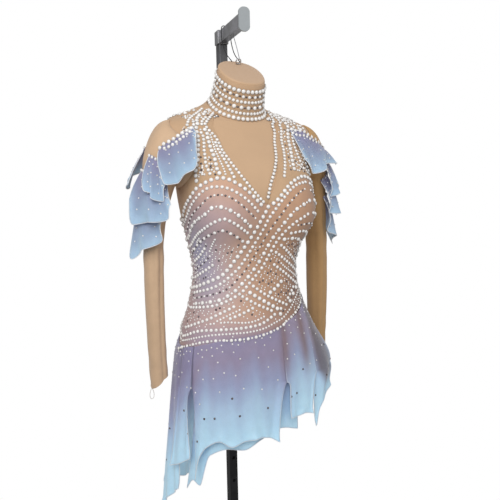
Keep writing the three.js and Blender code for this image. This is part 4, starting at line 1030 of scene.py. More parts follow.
class DRESS_OT_hanger(bpy.types.Operator):
    """Builds the eye in the cap, the wire and the black cord that hold the form up"""
    bl_idname = "dress.hanger"
    bl_label = "Hanger"

    def execute(self, context):
        tilt = np.radians(CAP_TILT)
        lift = EYE["radius"] + EYE["wire"] + HOLD_GAP
        middle = cap_point(EYE["x"], EYE["back"], lift)
        turn = np.linspace(0, 2 * np.pi, 40, endpoint=False)
        up = np.array([0, -np.sin(tilt), np.cos(tilt)])
        ring = middle + EYE["radius"] * (np.cos(turn)[:, None] * np.array([1.0, 0, 0])
                                         + np.sin(turn)[:, None] * up)
        axis = np.cross([1.0, 0, 0], up)
        eye = tube(ring, EYE["wire"], axis, sides=12, closed=True)
        piece("screw_eye", [eye], "wire", ["neck_eye"])

        low = middle + up * lift + np.array([0, 0, WIRE["radius"]])
        high = np.array([WIRE["x"], WIRE["y"], ARM_UNDER - HOLD_GAP - WIRE["radius"]])
        share = np.linspace(0, 1, 24)[:, None]
        bow = np.array(WIRE["bow"]) * np.sin(np.pi * share)
        piece("thin_wire", [tube(mix(low, high, share) + bow, WIRE["radius"], (0, 1, 0))], "wire",
              ["hanging_wire"])

        arm_x = POST["x"] + np.tan(np.radians(ARM["yaw"])) * (POST["y"] - CORD["y"])
        arm_middle = ARM_UNDER + ARM["height"] / 2
        lying = CORD["radius"] * 1.4 + HOLD_GAP
        end = [cap_point(x, EYE["back"] + CORD["behind_eye"], lying) for x in CORD["ends"]]
        side = [np.array([arm_x + s * CORD["side"], CORD["y"], ARM_UNDER]) for s in (-1, 1)]
        slack = np.array(CORD["slack"])
        corner = [np.array([p[0], CORD["y"], arm_middle + CORD["corner"]]) for p in side]
        over = np.array([arm_x, CORD["y"], arm_middle + CORD["over"]])
        route = catmull_rom([end[0], mix(end[0], side[0], 0.5) + slack, side[0], corner[0], over,
                             corner[1], side[1], mix(end[1], side[1], 0.5) + slack, end[1]], 120)
        braid = tube(route, CORD["radius"], (0, 1, 0.2), linear(CORD_COLOUR))
        piece("black_cord_loop", [braid], "cord", ["cord_loop"])
        return {"FINISHED"}


# ---------------------------------------------------------------- bodice
def panel(t, h, gap, tint, round_u=False):
    """A wall that follows the form at a gap from it."""
    return wall(skin(t, h, gap + CLOTH), skin(t, h, gap), tint, round_u)


def edge_of(rows):
    """A table's edge as a function of 0 to 1."""
    t, h = evenly(rows, "t"), evenly(rows, "h")
    return lambda v: np.stack([t(v), h(v)], -1)


def fitted(edge, start):
    """An edge whose first point is moved onto the seam that it starts from."""
    shift = start - edge(np.zeros(1))[0]
    return lambda v: edge(v) + shift * ((1 - v) ** 6)[..., None]


def patch(low, high, left, right, u, v):
    """Fills the space between four edges: the two ruled surfaces added, less the one through the
    corners."""
    u_, v_ = grid(u, v)
    u_, v_ = u_[..., None], v_[..., None]
    ruled_up = mix(low(u)[:, None], high(u)[:, None], v_)
    ruled_across = mix(left(v)[None], right(v)[None], u_)
    corners = mix(mix(low(u[:1])[0], low(u[-1:])[0], u_), mix(high(u[:1])[0], high(u[-1:])[0], u_), v_)
    return np.moveaxis(ruled_up + ruled_across - corners, -1, 0)


def yoke_gap(t, h):
    """How far a front yoke lies off the form: it hugs it along the open V and rises smoothly to the
    bodice's gap, where it is sewn to the bodice and further from the V."""
    angle = wrapped(t)
    edge = {side: through(V_EDGE[side]["h"], V_EDGE[side]["t"])(h) for side in V_EDGE}
    beyond = np.where(angle > 0, angle - edge["left"], -angle - edge["right"])
    held_off = np.maximum(smooth(beyond / HUG["angle"]), 1 - smooth((h - top_line(t)) / HUG["height"]))
    return mix(HUG["gap"], BODY_GAP, held_off)


def front_yoke(side):
    """The places t, h of a front yoke: between the top line, the V, the armhole and the collar."""
    v_edge, outer = edge_of(V_EDGE[side]), edge_of(YOKE_EDGE)
    ends = [edge(np.array([k]))[0] for edge in (v_edge, outer) for k in (0.0, 1.0)]

    def low(u):
        t = mix(ends[0][0], ends[2][0], u)
        return np.stack([t, top_line_at(t) + SEAM], -1)

    def high(u):
        return np.stack([mix(ends[1][0], ends[3][0], u), np.full_like(u, ends[1][1])], -1)

    one = np.ones(1)
    t, h = patch(low, high, fitted(v_edge, low(0 * one)[0]), fitted(outer, low(one)[0]),
                 np.linspace(0, 1, 40), np.linspace(0, 1, 80))
    return (t if side == "left" else -t), h


def back_yoke():
    """The places t, h of the back yoke, from armhole to armhole."""
    left = edge_of(BACK_YOKE_EDGE)
    ends = [left(np.array([k]))[0] for k in (0.0, 1.0)]

    def right(v):
        t, h = np.moveaxis(left(v), -1, 0)
        return np.stack([360 - t, h], -1)

    def low(u):
        t = mix(ends[0][0], 360 - ends[0][0], u)
        return np.stack([t, top_line(t) + SEAM], -1)

    def high(u):
        return np.stack([mix(ends[1][0], 360 - ends[1][0], u), np.full_like(u, ends[1][1])], -1)

    one = np.ones(1)
    return patch(low, high, fitted(left, low(0 * one)[0]), fitted(right, low(one)[0]),
                 np.linspace(0, 1, 76), np.linspace(0, 1, 60))


class DRESS_OT_bodice(bpy.types.Operator):
    """Builds the bodice's front and back with their soft stretch wrinkles"""
    bl_idname = "dress.bodice"
    bl_label = "Bodice"

    def execute(self, context):
        v = np.linspace(0, 1, 84)
        for name, start, end in (("bodice_front", -89.93, 89.93), ("bodice_back", 90.07, 269.93)):
            t, v_ = grid(np.linspace(start, end, 114), v)
            h = mix(hip_line(t), top_line(t), v_)
            shell = panel(t, h, BODY_GAP, bodice_tint(t, h))
            made = piece(name + "_shell", [shell], "stretch cloth", [name])
            skin(t, h, BODY_GAP + CLOTH / 2)
        return {"FINISHED"}


class DRESS_OT_yokes(bpy.types.Operator):
    """Builds the nude mesh yokes and the collar"""
    bl_idname = "dress.yokes"
    bl_label = "Yokes and collar"

    def execute(self, context):
        nude = linear(settings().nude)
        places = {"front_yoke_left": front_yoke("left"), "front_yoke_right": front_yoke("right"),
                  "back_yoke": back_yoke()}
        for name, (t, h) in places.items():
            gap = np.full_like(t, BODY_GAP) if name == "back_yoke" else yoke_gap(t, h)
            shell = panel(t, h, gap, nude)
            middle = skin(t, h, gap + CLOTH / 2)
            binding = [tube(edge, YOKE_BINDING, (0.2, 0.4, 1.0), nude, sides=6)
                       for edge in (middle[0, 2:], middle[-1, 2:])]
            made = piece(name + "_shell", [shell, *binding], "nude mesh", [name])
        t, v = grid(np.linspace(0, 360, 144, endpoint=False), np.linspace(0, 1, 24))
        h = mix(COLLAR_LOW, COLLAR_HIGH, v)
        middle = skin(t, h, COLLAR_GAP + CLOTH / 2)
        tint = linear(shaded(settings().nude, COLLAR_SHADE))
        made = piece("collar_shell", [panel(t, h, COLLAR_GAP, tint, True)], "nude mesh",
                     ["collar"])
        return {"FINISHED"}


class DRESS_OT_briefs(bpy.types.Operator):
    """Builds the briefs under the skirt with the gusset that closes them"""
    bl_idname = "dress.briefs"
    bl_label = "Briefs"

    def execute(self, context):
        t, v = grid(np.linspace(0, 360, 160, endpoint=False), np.linspace(0, 1, 30))
        h = mix(BRIEFS_LOW, hip_line(t) - SEAM, v)
        mauve = linear(shaded(settings().mauve, BRIEFS_SHADE))
        made = piece("briefs_shell", [panel(t, h, BODY_GAP, mauve, True)], "stretch cloth",
                     ["briefs"])
        skin(t, h, BODY_GAP + CLOTH / 2)

        front, back = form_at["front"](BRIEFS_LOW), form_at["back"](BRIEFS_LOW)
        u, v = grid(np.linspace(-1, 1, 24), np.linspace(0, 1, 60))
        half = mix(GUSSET["wide"], GUSSET["narrow"], 2 * v * (1 - v))
        z = WAIST_HEIGHT + BRIEFS_LOW - GUSSET["drop"] - CLOTH / 2
        middle = np.stack([u * half, mix(-front, back, v), np.full_like(u, z)], -1)
        made = piece("gusset_shell", [cloth(middle, mauve)], "stretch cloth", ["gusset"])
        return {"FINISHED"}


# ---------------------------------------------------------------- sleeves
def sleeve_place(side):
    """A point of a sleeve of the wearer's left, `along` it and `turn` degrees round: an ellipse in a
    tilted plane, blended at the head into the armhole's outline on the form."""
    rows, cuff = SLEEVES[side], CUFF_POINT[side]
    at = {key: through(rows["along"], rows[key]) for key in rows if key != "along"}
    hole = {key: through(ARMHOLE["turn"], ARMHOLE[key]) for key in ("t", "h")}

    def place(along, turn, away=0.0):
        along, turn, away = np.broadcast_arrays(along, turn, away)
        angle = np.radians(turn)
        tilt = np.radians(at["tilt"](along))
        across = (at["across"](along) + away) * np.cos(angle)
        facing = (1 + np.cos(angle - np.radians(cuff["turn"]))) / 2
        point = np.stack([
            at["x"](along) + across * np.cos(tilt),
            at["y"](along) - (at["deep"](along) + away) * np.sin(angle),
            WAIST_HEIGHT + at["h"](along) + across * np.sin(tilt)
            - cuff["drop"] * facing ** CUFF["sharp"] * smooth((along - CUFF["from"]) / CUFF["over"]),
        ], -1)
        share = smooth(along / SLEEVE_BLEND)
        on_form = skin(hole["t"](turn % 360), hole["h"](turn % 360),
                       SLEEVE_LAP + SLEEVE_EASE * share + away)
        return mix(on_form, point, share[..., None])
    return place


sleeve_at = {side: sleeve_place(side) for side in ("left", "right")}


def mirrored(side, points):
    """The sleeve and the ruffles are worked out at the wearer's left, and the right ones mirrored."""
    return points * np.array([-1.0, 1, 1]) if side == "right" else points


def sleeve_grid(side):
    """The sleeve's middle with its creases, and the share along it: each crease presses in a trough,
    Gaussian across, that fades out towards the head, and small wrinkles ring the elbow and the cuff."""
    u, v = grid(np.linspace(0, 1, 76, endpoint=False), np.linspace(0, 1, 132))
    along = v ** SLEEVE_FINER
    turn = 360 * u
    rows = SLEEVE_CREASES[side]
    press = np.zeros_like(along)
    for high, low, width, depth in zip(rows["high"], rows["low"], rows["width"], rows["depth"]):
        off = wrapped(turn - mix(high, low, along) - CREASE["sway"] * np.sin(CREASE["pace"] * along + high))
        press += depth * np.exp(-(off / width) ** 2 / 2) * smooth((along - CREASE["from"]) / CREASE["over"])
    angle = np.radians(turn)
    elbow, wrist = ELBOW_RIPPLE, CUFF_RIPPLE
    ripple = elbow["depth"] * np.sin(elbow["count"] * along + elbow["twist"] * angle)
    ripple = ripple * np.exp(-((along - elbow["along"]) / elbow["width"]) ** 2)
    rings = wrist["depth"] * np.sin(wrist["count"] * along - wrist["twist"] * angle)
    ripple = ripple + rings * smooth((along - wrist["from"]) / wrist["over"])
    return mirrored(side, sleeve_at[side](along, turn, ripple - press)), along


class DRESS_OT_sleeves(bpy.types.Operator):
    """Builds the empty mesh sleeves with long creases, pointed cuffs and finger loops"""
    bl_idname = "dress.sleeves"
    bl_label = "Sleeves"

    def execute(self, context):
        dye = settings()
        for side in ("left", "right"):
            # the nude mesh painted lighter on the lit sleeve and darker on the shaded one
            shade = shaded(dye.nude, SLEEVE_LIGHT_AND_SHADE[side])
            middle, along = sleeve_grid(side)
            fade = mix(1.0, CUFF_SHADE["fade"], smooth(along))[..., None]
            shell = cloth(middle, linear(shade) * fade, round_u=True)
            rim = tube(middle[:, -1], CUFF["rim"], (0, 0, 1), linear(shade * CUFF_SHADE["rim"]), sides=6,
                       closed=True)
            made = piece(f"sleeve_{side}_shell", [shell, rim], "nude mesh",
                         [f"sleeve_{side}"])

            tip = sleeve_at[side](np.array(1.0), np.array(CUFF_POINT[side]["turn"]))
            down = FINGER_LOOP["height"] + FINGER_LOOP["cord"] + HOLD_GAP
            a = np.linspace(0, 2 * np.pi, 40, endpoint=False)
            loop = tip - np.array([0, 0, down]) + np.stack([
                FINGER_LOOP["half"] * np.cos(a) * (1 - FINGER_LOOP["narrower_above"] * np.sin(a)), 0 * a,
                FINGER_LOOP["height"] * np.sin(a)], -1)
            pale = linear(LOOP_COLOUR)
            piece(f"finger_loop_{side}_cord",
                  [tube(mirrored(side, loop), FINGER_LOOP["cord"], (0, 1, 0), pale, closed=True)],
                  "nude mesh", [f"finger_loop_{side}"])
        return {"FINISHED"}


# ---------------------------------------------------------------- ruffles
def ruffle_edges(side, name):
    """The sewn and the free edge of a ruffle, as functions of 0 to 1."""
    rows = FRONT_RUFFLES[side] if name == "front" else TIERS[name]

    def line(keys):
        x, y, h = (evenly(rows, key) for key in keys)
        return lambda u: np.stack([x(u), y(u), WAIST_HEIGHT + h(u)], -1)

    free = line(("edge_x", "edge_y", "edge_h"))
    if name == "front":
        return line(("seam_x", "seam_y", "seam_h")), free
    turn, along = evenly(rows, "turn"), evenly(rows, "along")
    return (lambda u: sleeve_at[side](along(u), turn(u), RUFFLE_LIFT)), free


def ruffle_place(side, name, u, v):
    """A ruffle's point: from its seam to its free edge, whose corners are rounded by a shorter drop,
    swelling out between them. Two sets of broad waves grow with the square of the drop, and the edge
    rolls outwards and rises and falls."""
    seam, free = ruffle_edges(side, name)
    corner = sum(np.exp(-(end / RUFFLE_ROUND["width"]) ** 2) for end in (u, 1 - u))
    v = v * (1 - RUFFLE_ROUND["cut"] * corner)
    point = mix(seam(u), free(u), v[..., None])
    out = point - RUFFLE_CENTRE
    out[..., 2] = 0
    out = unit(out)
    swell = RUFFLE_SWELL[name] * np.sin(np.pi * v)
    turn = 2 * np.pi * RUFFLE_WAVES * u
    wave = RUFFLE_DEPTH * v ** 2 * np.sin(turn)
    phase = RUFFLE_FOLD["pace"] * turn + RUFFLE_FOLD["start"] + RUFFLE_FOLD["twist"] * v
    fold = RUFFLE_FOLD["depth"] * v ** 2 * np.sin(phase)
    rolled = np.exp(-((1 - v) / RUFFLE_CURL["reach"]) ** 2)
    curl = RUFFLE_CURL["depth"] * rolled * (1 + np.sin(turn + RUFFLE_CURL["start"])) / 2
    point = point + out * (swell + wave + fold + curl)[..., None]
    point[..., 2] += RUFFLE_EDGE["rise"] * v ** 3 * np.sin(RUFFLE_EDGE["pace"] * turn + RUFFLE_EDGE["start"])
    return mirrored(side, point), mirrored(side, out)


RUFFLE_SEWN_ROWS = (3, 2)  # rows of its grid above which its two sides have no rolled edge


class DRESS_OT_ruffles(bpy.types.Operator):
    """Builds the shoulder ruffles with their waves and rolled edges"""
    bl_idname = "dress.ruffles"
    bl_label = "Ruffles"

    def execute(self, context):
        dye = settings()
        radius = dye.rolled_edge / MM / 2
        for side in ("left", "right"):
            for name in ("front", *TIERS):
                u, v = grid(np.linspace(0, 1, 96), np.linspace(0, 1, 34))
                middle, out = ruffle_place(side, name, u, v)
                shell = cloth(middle, ruffle_tint(u, v), thick=CHIFFON["ruffle"])
                path, across = (free_edge(rows, *RUFFLE_SEWN_ROWS) for rows in (middle, out))
                rolled = tube(path, radius, across, linear(dye.hem), sides=6)
                made = piece(f"ruffle_{name}_{side}_shell", [shell, rolled], "chiffon",
                             [f"ruffle_{name}_{side}"])
        return {"FINISHED"}


# ---------------------------------------------------------------- skirt
def petal_place(name, u, v):
    """A petal's point. Its angle turns from the top's to the hem's, where it has a slit only below the
    slit's top, and it swings out with broad flutes that deepen towards the hem. Petals in view also
    have softer folds, a curl along each side and the hem, and an opening that swings their slit wide.
    Above its slits a petal runs on a little over the next."""
    gap, waves, depth, bulge, slit, swing = PETALS[name][0]
    rows = table(PETAL_ROWS, PETALS[name][1])
    at = {key: evenly(rows, key) for key in rows}
    h = mix(hip_line(at["top"](u)) + PETAL_LAP, at["h"](u), v)
    opened = np.clip((h - SLIT_TOP) / (at["h"](u) - SLIT_TOP), 0, 1) ** SLIT_OPENING
    t = mix(at["top"](u), at["hem"](u), opened if slit else v ** PETAL_TURN)
    swell = bulge * np.sin(np.pi * v * v) ** 2 * np.sin(np.pi * u / 2)
    clear = gap + CLOTH / 2 + at["flare"](u) * v ** swing + swell
    flute = depth * v ** 2 * np.sin(2 * np.pi * waves * u) * np.sin(np.pi * u)
    extra = 0.0
    if name != "underskirt":
        fold, hem = PETAL_FOLD, HEM_CURL
        drop = np.maximum(hip_line(at["top"](u)) - h, 0) / fold["over"]
        round_body = np.radians(at["top"](u)) + fold["sway"] * np.sin(fold["pace"] * drop)
        turn = FOLDS_PER_TURN * settings().skirt_folds * round_body + fold["start"]
        extra = fold["depth"] * drop ** fold["power"] * np.sin(turn)
        sides = np.exp(-(u / SLIT_CURL["reach"]) ** 2) + np.exp(-((1 - u) / SLIT_CURL["reach"]) ** 2)
        extra = extra + SLIT_CURL["depth"] * np.minimum(opened * SLIT_CURL["onset"], 1) * sides
        rise = 1 + np.sin(2 * np.pi * hem["pace"] * waves * u + hem["start"])
        extra += hem["depth"] * np.exp(-((1 - v) / hem["reach"]) ** 2) * rise
        t = t + GAPE.get(name, 0.0) * np.sin(np.pi * opened) * np.exp(-(u / GAPE_SHARE) ** 2)
        joined = 1 - np.minimum(opened * PETAL_JOIN["fade"], 1) if slit else 0.0
        last, first = u > 1 - PETAL_JOIN["side"], u < PETAL_JOIN["side"]
        t = t + PETAL_JOIN["angle"] * joined * (last - 1.0 * first)
    point = skin(t, np.maximum(h, FULLEST_HIP), clear + flute + extra)
    point[..., 2] = np.minimum(point[..., 2], WAIST_HEIGHT + h)
    return point, t, h


PETAL_SEWN_ROWS = (28, 28)
PALE_EDGE = {"most": 0.75, "from": 0.4, "over": 0.4}  # how its rolled edge pales on the way down


class DRESS_OT_skirt(bpy.types.Operator):
    """Builds the skirt's dip-dyed petals with their folds, curled slits and rolled hems"""
    bl_idname = "dress.skirt"
    bl_label = "Skirt"

    def execute(self, context):
        dye = settings()
        radius = 0.9 * dye.rolled_edge / MM / 2
        for name in PETALS:
            u, v = grid(np.linspace(0, 1, 116), np.linspace(0, 1, 84))
            middle, t, h = petal_place(name, u, v)
            tint = dip_dye_and_flap_shade(t, h, h[:, -1:])
            shell = cloth(middle, tint, thick=CHIFFON["petal"])
            out = unit(middle - middle.mean((0, 1)) * np.array([0, 0, 1.0]))
            out[..., 2] = 0.1
            pale = PALE_EDGE["most"] * smooth((v - PALE_EDGE["from"]) / PALE_EDGE["over"])
            shade = mix(tint, linear(dye.hem), pale[..., None])
            path, across, shade = (free_edge(rows, *PETAL_SEWN_ROWS) for rows in (middle, out, shade))
            rolled = tube(path, radius, across, shade, sides=6)
            made = piece(name + "_shell", [shell, rolled], "chiffon", [name])
        return {"FINISHED"}


# ---------------------------------------------------------------- beads
def dome_template(sides, rings):
    """A dome of unit radius on its flat base: rings at even steps of latitude, closed by a point."""
    lat = np.linspace(0, np.pi / 2, rings + 1)[:-1]
    lon = np.linspace(0, 2 * np.pi, sides, endpoint=False)
    la, lo = grid(lat, lon)
    points = np.stack([np.cos(la) * np.cos(lo), np.cos(la) * np.sin(lo), np.sin(la)], -1).reshape(-1, 3)
    number = np.arange(len(points)).reshape(rings, sides)
    number = np.concatenate([number, number[:, :1]], 1)
    side = number.ravel()[quads(*number.shape)][:, ::-1]
    top = number[-1]
    cap = np.stack([top[:-1], top[1:], np.full(sides, len(points))], -1)
    return np.append(points, [[0, 0, 1.0]], 0), [side, cap, number[:1, -2::-1]]


def bead_part(centres, across, radii, tints, flat, rings, sides=8):
    """One dome at each centre, standing along `across`, as a single part. Its foot is painted darker:
    painted shade for the shadow round a bead where it sits on the cloth."""
    template, faces = dome_template(sides, rings)
    # painted shade, darker towards the dome's foot
    shade = np.interp(template[:, 2], FOOT_PAINTED_SHADE["height"], FOOT_PAINTED_SHADE["tone"])
    helper = np.where(np.abs(across[:, 2:]) > 0.9, np.array([[1.0, 0, 0]]), np.array([[0, 0, 1.0]]))
    a = unit(np.cross(helper, across))
    b = np.cross(across, a)
    local = template * np.array([1, 1, flat])
    points = centres[:, None] + radii[:, None, None] * (
        local[None, :, :1] * a[:, None] + local[None, :, 1:2] * b[:, None]
        + local[None, :, 2:] * across[:, None])
    step = np.arange(len(centres))[:, None, None] * len(template)
    joined = [(face[None] + step).reshape(-1, face.shape[1]) for face in faces]
    tint = np.repeat(tints, len(template), 0) * np.tile(shade, len(centres))[:, None]
    return {"points": points.reshape(-1, 3), "faces": joined, "tint": tint,
            "uv": np.zeros((points.size // 3, 2))}


def bead_sizes():
    """Diameters by kind, in mm."""
    dye = settings()
    return {"L": dye.large / MM, "M": dye.medium / MM, "S": dye.small / MM,
            "D": dye.small / MM * STONE_SHARE, "T": dye.tiny / MM}


def strung(path, across, pattern, room="body", closed=False):
    """Beads sewn along a path one after the other, each as far from the last as their radii and the
    gap of their kind and group say. Returns their kinds, places and directions."""
    size = bead_sizes()
    length = np.append(0, np.cumsum(np.linalg.norm(np.diff(path, axis=0), axis=-1)))
    most = int(length[-1] / 2) + len(pattern)
    kinds = np.array(list(pattern * (most // len(pattern) + 1)))
    width = np.array([size[k] for k in kinds])
    gap = np.array([GAP_IN_ROW[k] for k in kinds]) * ROW_ROOM[room]
    at = np.cumsum((width + np.roll(width, 1)) / 2 + gap) - width[0] / 2 - gap[0]
    keep = at <= length[-1]
    if closed:
        last = (keep.sum() // len(pattern)) * len(pattern)
        at = (at[:last] - at[0]) / (at[last] - at[0]) * length[-1]
        keep = np.ones(last, bool)
    at, kinds = at[keep], kinds[:len(keep)][keep]
    place = np.stack([np.interp(at, length, path[:, k]) for k in range(3)], -1)
    facing = np.stack([np.interp(at, length, across[:, k]) for k in range(3)], -1)
    return kinds, place, unit(facing)


def sewn_height(t, h):
    """How far the top of the cloth lies off the form at a place of the front or the back."""
    on_yoke = (np.abs(wrapped(t)) < 90) & (h > top_line(t))
    above = np.where(on_yoke, yoke_gap(t, h), BODY_GAP) + CLOTH
    return np.where(h < hip_line(t) + PETAL_LAP, OVERSKIRT_GAP + CLOTH + HIP_LIFT, above)


def body_row(points):
    """A row's path over the cloth, through a few places (t, h)."""
    t, h = catmull_rom(points, 400).T
    return skin(t, h, sewn_height(t, h)), outward(busted_point, t, h)


class BeadBag:
    """Collects beads, leaving out each that would press into one sewn before it."""

    def __init__(self):
        self.kinds, self.places, self.facings = [], [], []

    def sew(self, kinds, places, facings, room=BEADS_APART):
        size = bead_sizes()
        radius = np.array([size[k] / 2 for k in kinds])
        if self.kinds:
            old = np.concatenate(self.places)
            old_radius = np.array([size[k] / 2 for k in np.concatenate(self.kinds)])
            apart = np.linalg.norm(places[:, None] - old[None], axis=-1)
            free = (apart > room * (radius[:, None] + old_radius[None])).all(1)
            kinds, places, facings = kinds[free], places[free], facings[free]
        if len(kinds):
            self.kinds.append(kinds)
            self.places.append(places)
            self.facings.append(facings)

    def objects(self, name):
        """One object of pearls and one of dark stones."""
        size, dye = bead_sizes(), settings()
        kinds = np.concatenate(self.kinds)
        places, facings = np.concatenate(self.places), np.concatenate(self.facings)
        radii = np.array([size[k] / 2 for k in kinds])
        number = np.arange(len(kinds))
        tone = 1 - PEARL_TONE["range"] * (1 + np.sin(number * PEARL_TONE["turn"])) / 2
        pearl = linear(np.array(dye.pearl)[None] * tone[:, None])
        stone = np.broadcast_to(linear(dye.stone), pearl.shape)
        dark = kinds == "D"
        for mask, finish, slot, tint, dome in ((~dark, "pearl", "pearl", pearl, PEARL_DOME),
                                               (dark, "stone", "dark_stone", stone, STONE_DOME)):
            if mask.any():
                beads = bead_part(places[mask], facings[mask], radii[mask], tint[mask], **dome)
                piece(f"{name}_{finish}s", [beads], finish)


def spread(count):
    """An even spread of pairs of shares from 0 to 1: steps of two shares that never come round to the
    same place, wrapped."""
    number = np.arange(1, count + 1)
    return (0.5 + 0.7548777 * number) % 1, (0.5 + 0.5698403 * number) % 1


class DRESS_OT_body_beads(bpy.types.Operator):
    """Sews the rows of pearls and dark stones on the bodice, the straps and the collar"""
    bl_idname = "dress.body_beads"
    bl_label = "Beads on the body"

    def execute(self, context):
        bag = BeadBag()
        for pattern, points in BEAD_ROWS:
            bag.sew(*strung(*body_row(points), pattern))
        scatter = FRONT_SCATTER
        across, up = spread(scatter["count"])
        t = mix(-scatter["side"], scatter["side"], across)
        h = mix(hip_line(t) + scatter["low"], scatter["top"], up)
        kinds = np.where(np.arange(len(t)) % scatter["one_dark_in"] == 0, "D", "T")
        bag.sew(kinds, skin(t, h, BODY_GAP + CLOTH), outward(busted_point, t, h), scatter["room"])
        bag.objects("bodice_front")

        bag = BeadBag()
        for pattern, points in STRAP_ROWS + SHOULDER_ROWS:
            bag.sew(*strung(*body_row(points), pattern, "strap"))
        for low, high, bottom, top, count in STRAP_CLUSTERS:
            across, up = spread(count)
            t, h = mix(low, high, across), mix(bottom, top, up)
            kinds = np.array(list("STSD"))[np.arange(count) % 4]
            bag.sew(kinds, skin(t, h, sewn_height(t, h)), outward(busted_point, t, h), room=1.05)
        bag.objects("strap")

        bag = BeadBag()
        for pattern, points in BACK_ROWS:
            bag.sew(*strung(*body_row(points), pattern, "back"))
        scatter = BACK_SCATTER
        across, up = spread(scatter["count"])
        t = mix(scatter["from"], scatter["to"], across)
        h = mix(hip_line(t) + scatter["low"], top_line(t) - scatter["top"], up)
        bag.sew(np.full(len(t), "T"), skin(t, h, BODY_GAP + CLOTH), outward(busted_point, t, h),
                scatter["room"])
        bag.objects("back")

        bag = BeadBag()
        t = np.linspace(180, 540, 721)
        for pattern, height in COLLAR_ROWS:
            h = np.full_like(t, height)
            bag.sew(*strung(skin(t, h, COLLAR_GAP + CLOTH), outward(busted_point, t, h), pattern,
                            "collar", closed=True))
        bag.objects("collar")
        return {"FINISHED"}


class DRESS_OT_chiffon_beads(bpy.types.Operator):
    """Sews pearls along the ruffles' seams and strews tiny beads over ruffles and skirt"""
    bl_idname = "dress.chiffon_beads"
    bl_label = "Beads on the chiffon"

    def execute(self, context):
        bag = BeadBag()
        u = np.linspace(0, 1, 300)
        for side in ("left", "right"):
            for name, pattern, share in SEAM_ROWS:
                path, out = ruffle_place(side, name, u, np.full_like(u, share))
                bag.sew(*strung(path + out * SEAM_LIFT, out, pattern, "seam"))
            for name in ("front", *TIERS):
                across, down = spread(RUFFLE_STREW["count"])
                self.strew(bag, lambda a, b: ruffle_place(side, name, a, b)[0], RUFFLE_STREW, across, down)
        bag.objects("ruffle")

        bag = BeadBag()
        for name in PETALS:
            if name == "underskirt":
                continue
            angles = [row[0] for row in PETALS[name][1]]
            across, down = spread(int(SKIRT_STREW["per_degree"] * abs(angles[-1] - angles[0])))
            self.strew(bag, lambda a, b: petal_place(name, a, b)[0], SKIRT_STREW, across,
                       down ** SKIRT_STREW["thinning"])
        bag.objects("skirt")
        return {"FINISHED"}

    def strew(self, bag, place, strewn, across, down):
        """Tiny beads at places of a sheet, standing on the side that faces away from the body. The
        sheet's own direction there comes from its two differences."""
        u, v = mix(strewn["left"], strewn["right"], across), mix(strewn["top"], strewn["low"], down)
        small = 0.002
        across = place(u + small, v) - place(u - small, v)
        down = place(u, v + small) - place(u, v - small)
        facing = unit(np.cross(across, down))
        at = place(u, v)
        centre = np.array([0, 20.0, 0])
        away = np.einsum("ij,ij->i", facing, (at - centre) * np.array([1, 1, 0]))
        facing = facing * np.sign(away)[:, None]
        kinds = np.where(v > strewn.get("dark_from", 1.0), "D", "T")
        bag.sew(kinds, at + facing * CHIFFON["ruffle"] / 2, facing)


# ---------------------------------------------------------------- stage
CAMERA = {"place": (-0.6308, -1.1786, 1.2588), "yaw": 28.0, "pitch": 2.876, "roll": -1.346,
          "lens": 41.72, "shift_x": 0.0163, "shift_y": -0.06}
FLOOR_HALF = 0.6
FLOOR_COLOUR = (0.86, 0.86, 0.87, 1)
AIM = (0, 0, 1.1)
SURROUNDING_LIGHT = 0.44
LIGHTS = {
    "key": {"place": (-1.6, -2.2, 2.6), "size": 1.9, "power": 66.0},
    "fill": {"place": (2.4, -1.6, 1.6), "size": 2.4, "power": 9.0},
    "rear": {"place": (1.4, 2.4, 2.4), "size": 2.2, "power": 22.0},
}


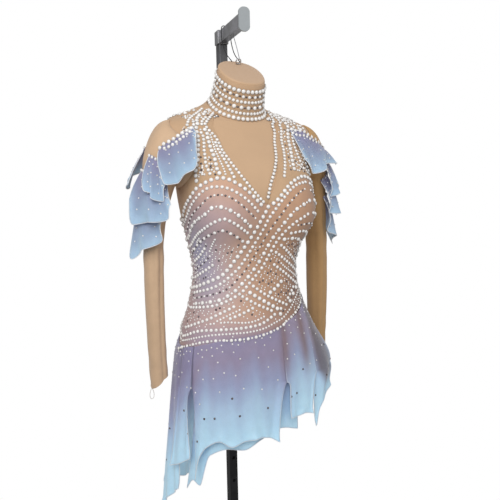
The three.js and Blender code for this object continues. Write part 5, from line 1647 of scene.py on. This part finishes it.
class DRESS_OT_stage(bpy.types.Operator):
    """Sets the pale floor, the soft lights, the white surroundings and the camera"""
    bl_idname = "dress.stage"
    bl_label = "Stage"

    def execute(self, context):
        scene = context.scene
        scene.view_settings.view_transform = "Standard"
        self.floor()
        self.surroundings(scene)
        for name, light in LIGHTS.items():
            lamp = bpy.data.lights.new(name, "AREA")
            lamp.energy = light["power"]
            lamp.size = light["size"]
            made = bpy.data.objects.new(name, lamp)
            context.collection.objects.link(made)
            made.location = light["place"]
            aim = np.array(AIM) - np.array(light["place"])
            flat = np.hypot(aim[0], aim[1])
            made.rotation_euler = Euler((np.pi / 2 + np.arctan2(aim[2], flat), 0,
                                         np.arctan2(aim[1], aim[0]) - np.pi / 2))
        camera = bpy.data.cameras.new("camera")
        camera.lens = CAMERA["lens"]
        camera.sensor_width = 36.0
        camera.shift_x = CAMERA["shift_x"]
        camera.shift_y = CAMERA["shift_y"]
        camera.clip_start = 0.05
        made = bpy.data.objects.new("camera", camera)
        context.collection.objects.link(made)
        made.location = CAMERA["place"]
        yaw, pitch, roll = (np.radians(CAMERA[k]) for k in ("yaw", "pitch", "roll"))
        turn = (Euler((0, 0, -yaw)).to_matrix() @ Euler((np.pi / 2 - pitch, 0, 0)).to_matrix()
                @ Euler((0, 0, roll)).to_matrix())
        made.rotation_euler = turn.to_euler()
        scene.camera = made
        return {"FINISHED"}

    def floor(self):
        half = FLOOR_HALF
        mesh = bpy.data.meshes.new("floor")
        mesh.from_pydata([(-half, -half, 0), (half, -half, 0), (half, half, 0), (-half, half, 0)], [],
                         [(0, 1, 2, 3)])
        made = bpy.data.objects.new("floor", mesh)
        bpy.context.collection.objects.link(made)
        material, tree, surface = new_material("pale_floor", {"Roughness": 0.8})
        place = add_node(tree, "TexCoord").outputs["Object"]
        pale = add_node(tree, "RGB")
        pale.outputs[0].default_value = FLOOR_COLOUR
        tree.links.new(mottled(tree, pale.outputs[0], 3.0, 0.98, place), surface.inputs["Base Color"])
        mesh.materials.append(material)

    def surroundings(self, scene):
        world = bpy.data.worlds.new("white surroundings")
        scene.world = world
        world.use_nodes = True
        tree = world.node_tree
        tree.nodes.clear()
        seen = add_node(tree, "Background", {"Color": (1, 1, 1, 1), "Strength": 1.0})
        lit = add_node(tree, "Background", {"Color": (1, 1, 1, 1), "Strength": SURROUNDING_LIGHT})
        path = add_node(tree, "LightPath")
        both = add_node(tree, "MixShader", {0: path.outputs["Is Camera Ray"]})
        tree.links.new(lit.outputs[0], both.inputs[1])
        tree.links.new(seen.outputs[0], both.inputs[2])
        out = add_node(tree, "OutputWorld")
        tree.links.new(both.outputs[0], out.inputs["Surface"])


# ---------------------------------------------------------------- panel
STEPS = (DRESS_OT_stage, DRESS_OT_form, DRESS_OT_stand, DRESS_OT_hanger, DRESS_OT_bodice, DRESS_OT_yokes,
         DRESS_OT_briefs, DRESS_OT_sleeves, DRESS_OT_ruffles, DRESS_OT_skirt, DRESS_OT_body_beads,
         DRESS_OT_chiffon_beads)


class DRESS_PT_panel(bpy.types.Panel):
    """Lists the dress's pieces and its sizes and colours"""
    bl_idname = "DRESS_PT_panel"
    bl_label = "Skating dress"
    bl_space_type = "VIEW_3D"
    bl_region_type = "UI"
    bl_category = "Dress"

    def draw(self, context):
        for name in DressSettings.__annotations__:
            self.layout.prop(context.scene.skating_dress, name)
        for step in STEPS:
            self.layout.operator(step.bl_idname)


def register():
    for made in (DressSettings, *STEPS, DRESS_PT_panel):
        bpy.utils.register_class(made)
    bpy.types.Scene.skating_dress = PointerProperty(type=DressSettings)


def unregister():
    del bpy.types.Scene.skating_dress
    for made in (DRESS_PT_panel, *reversed(STEPS), DressSettings):
        bpy.utils.unregister_class(made)


def main():
    register()
    for step in STEPS:
        group, name = step.bl_idname.split(".")
        getattr(getattr(bpy.ops, group), name)()


if __name__ == "__main__":
    main()
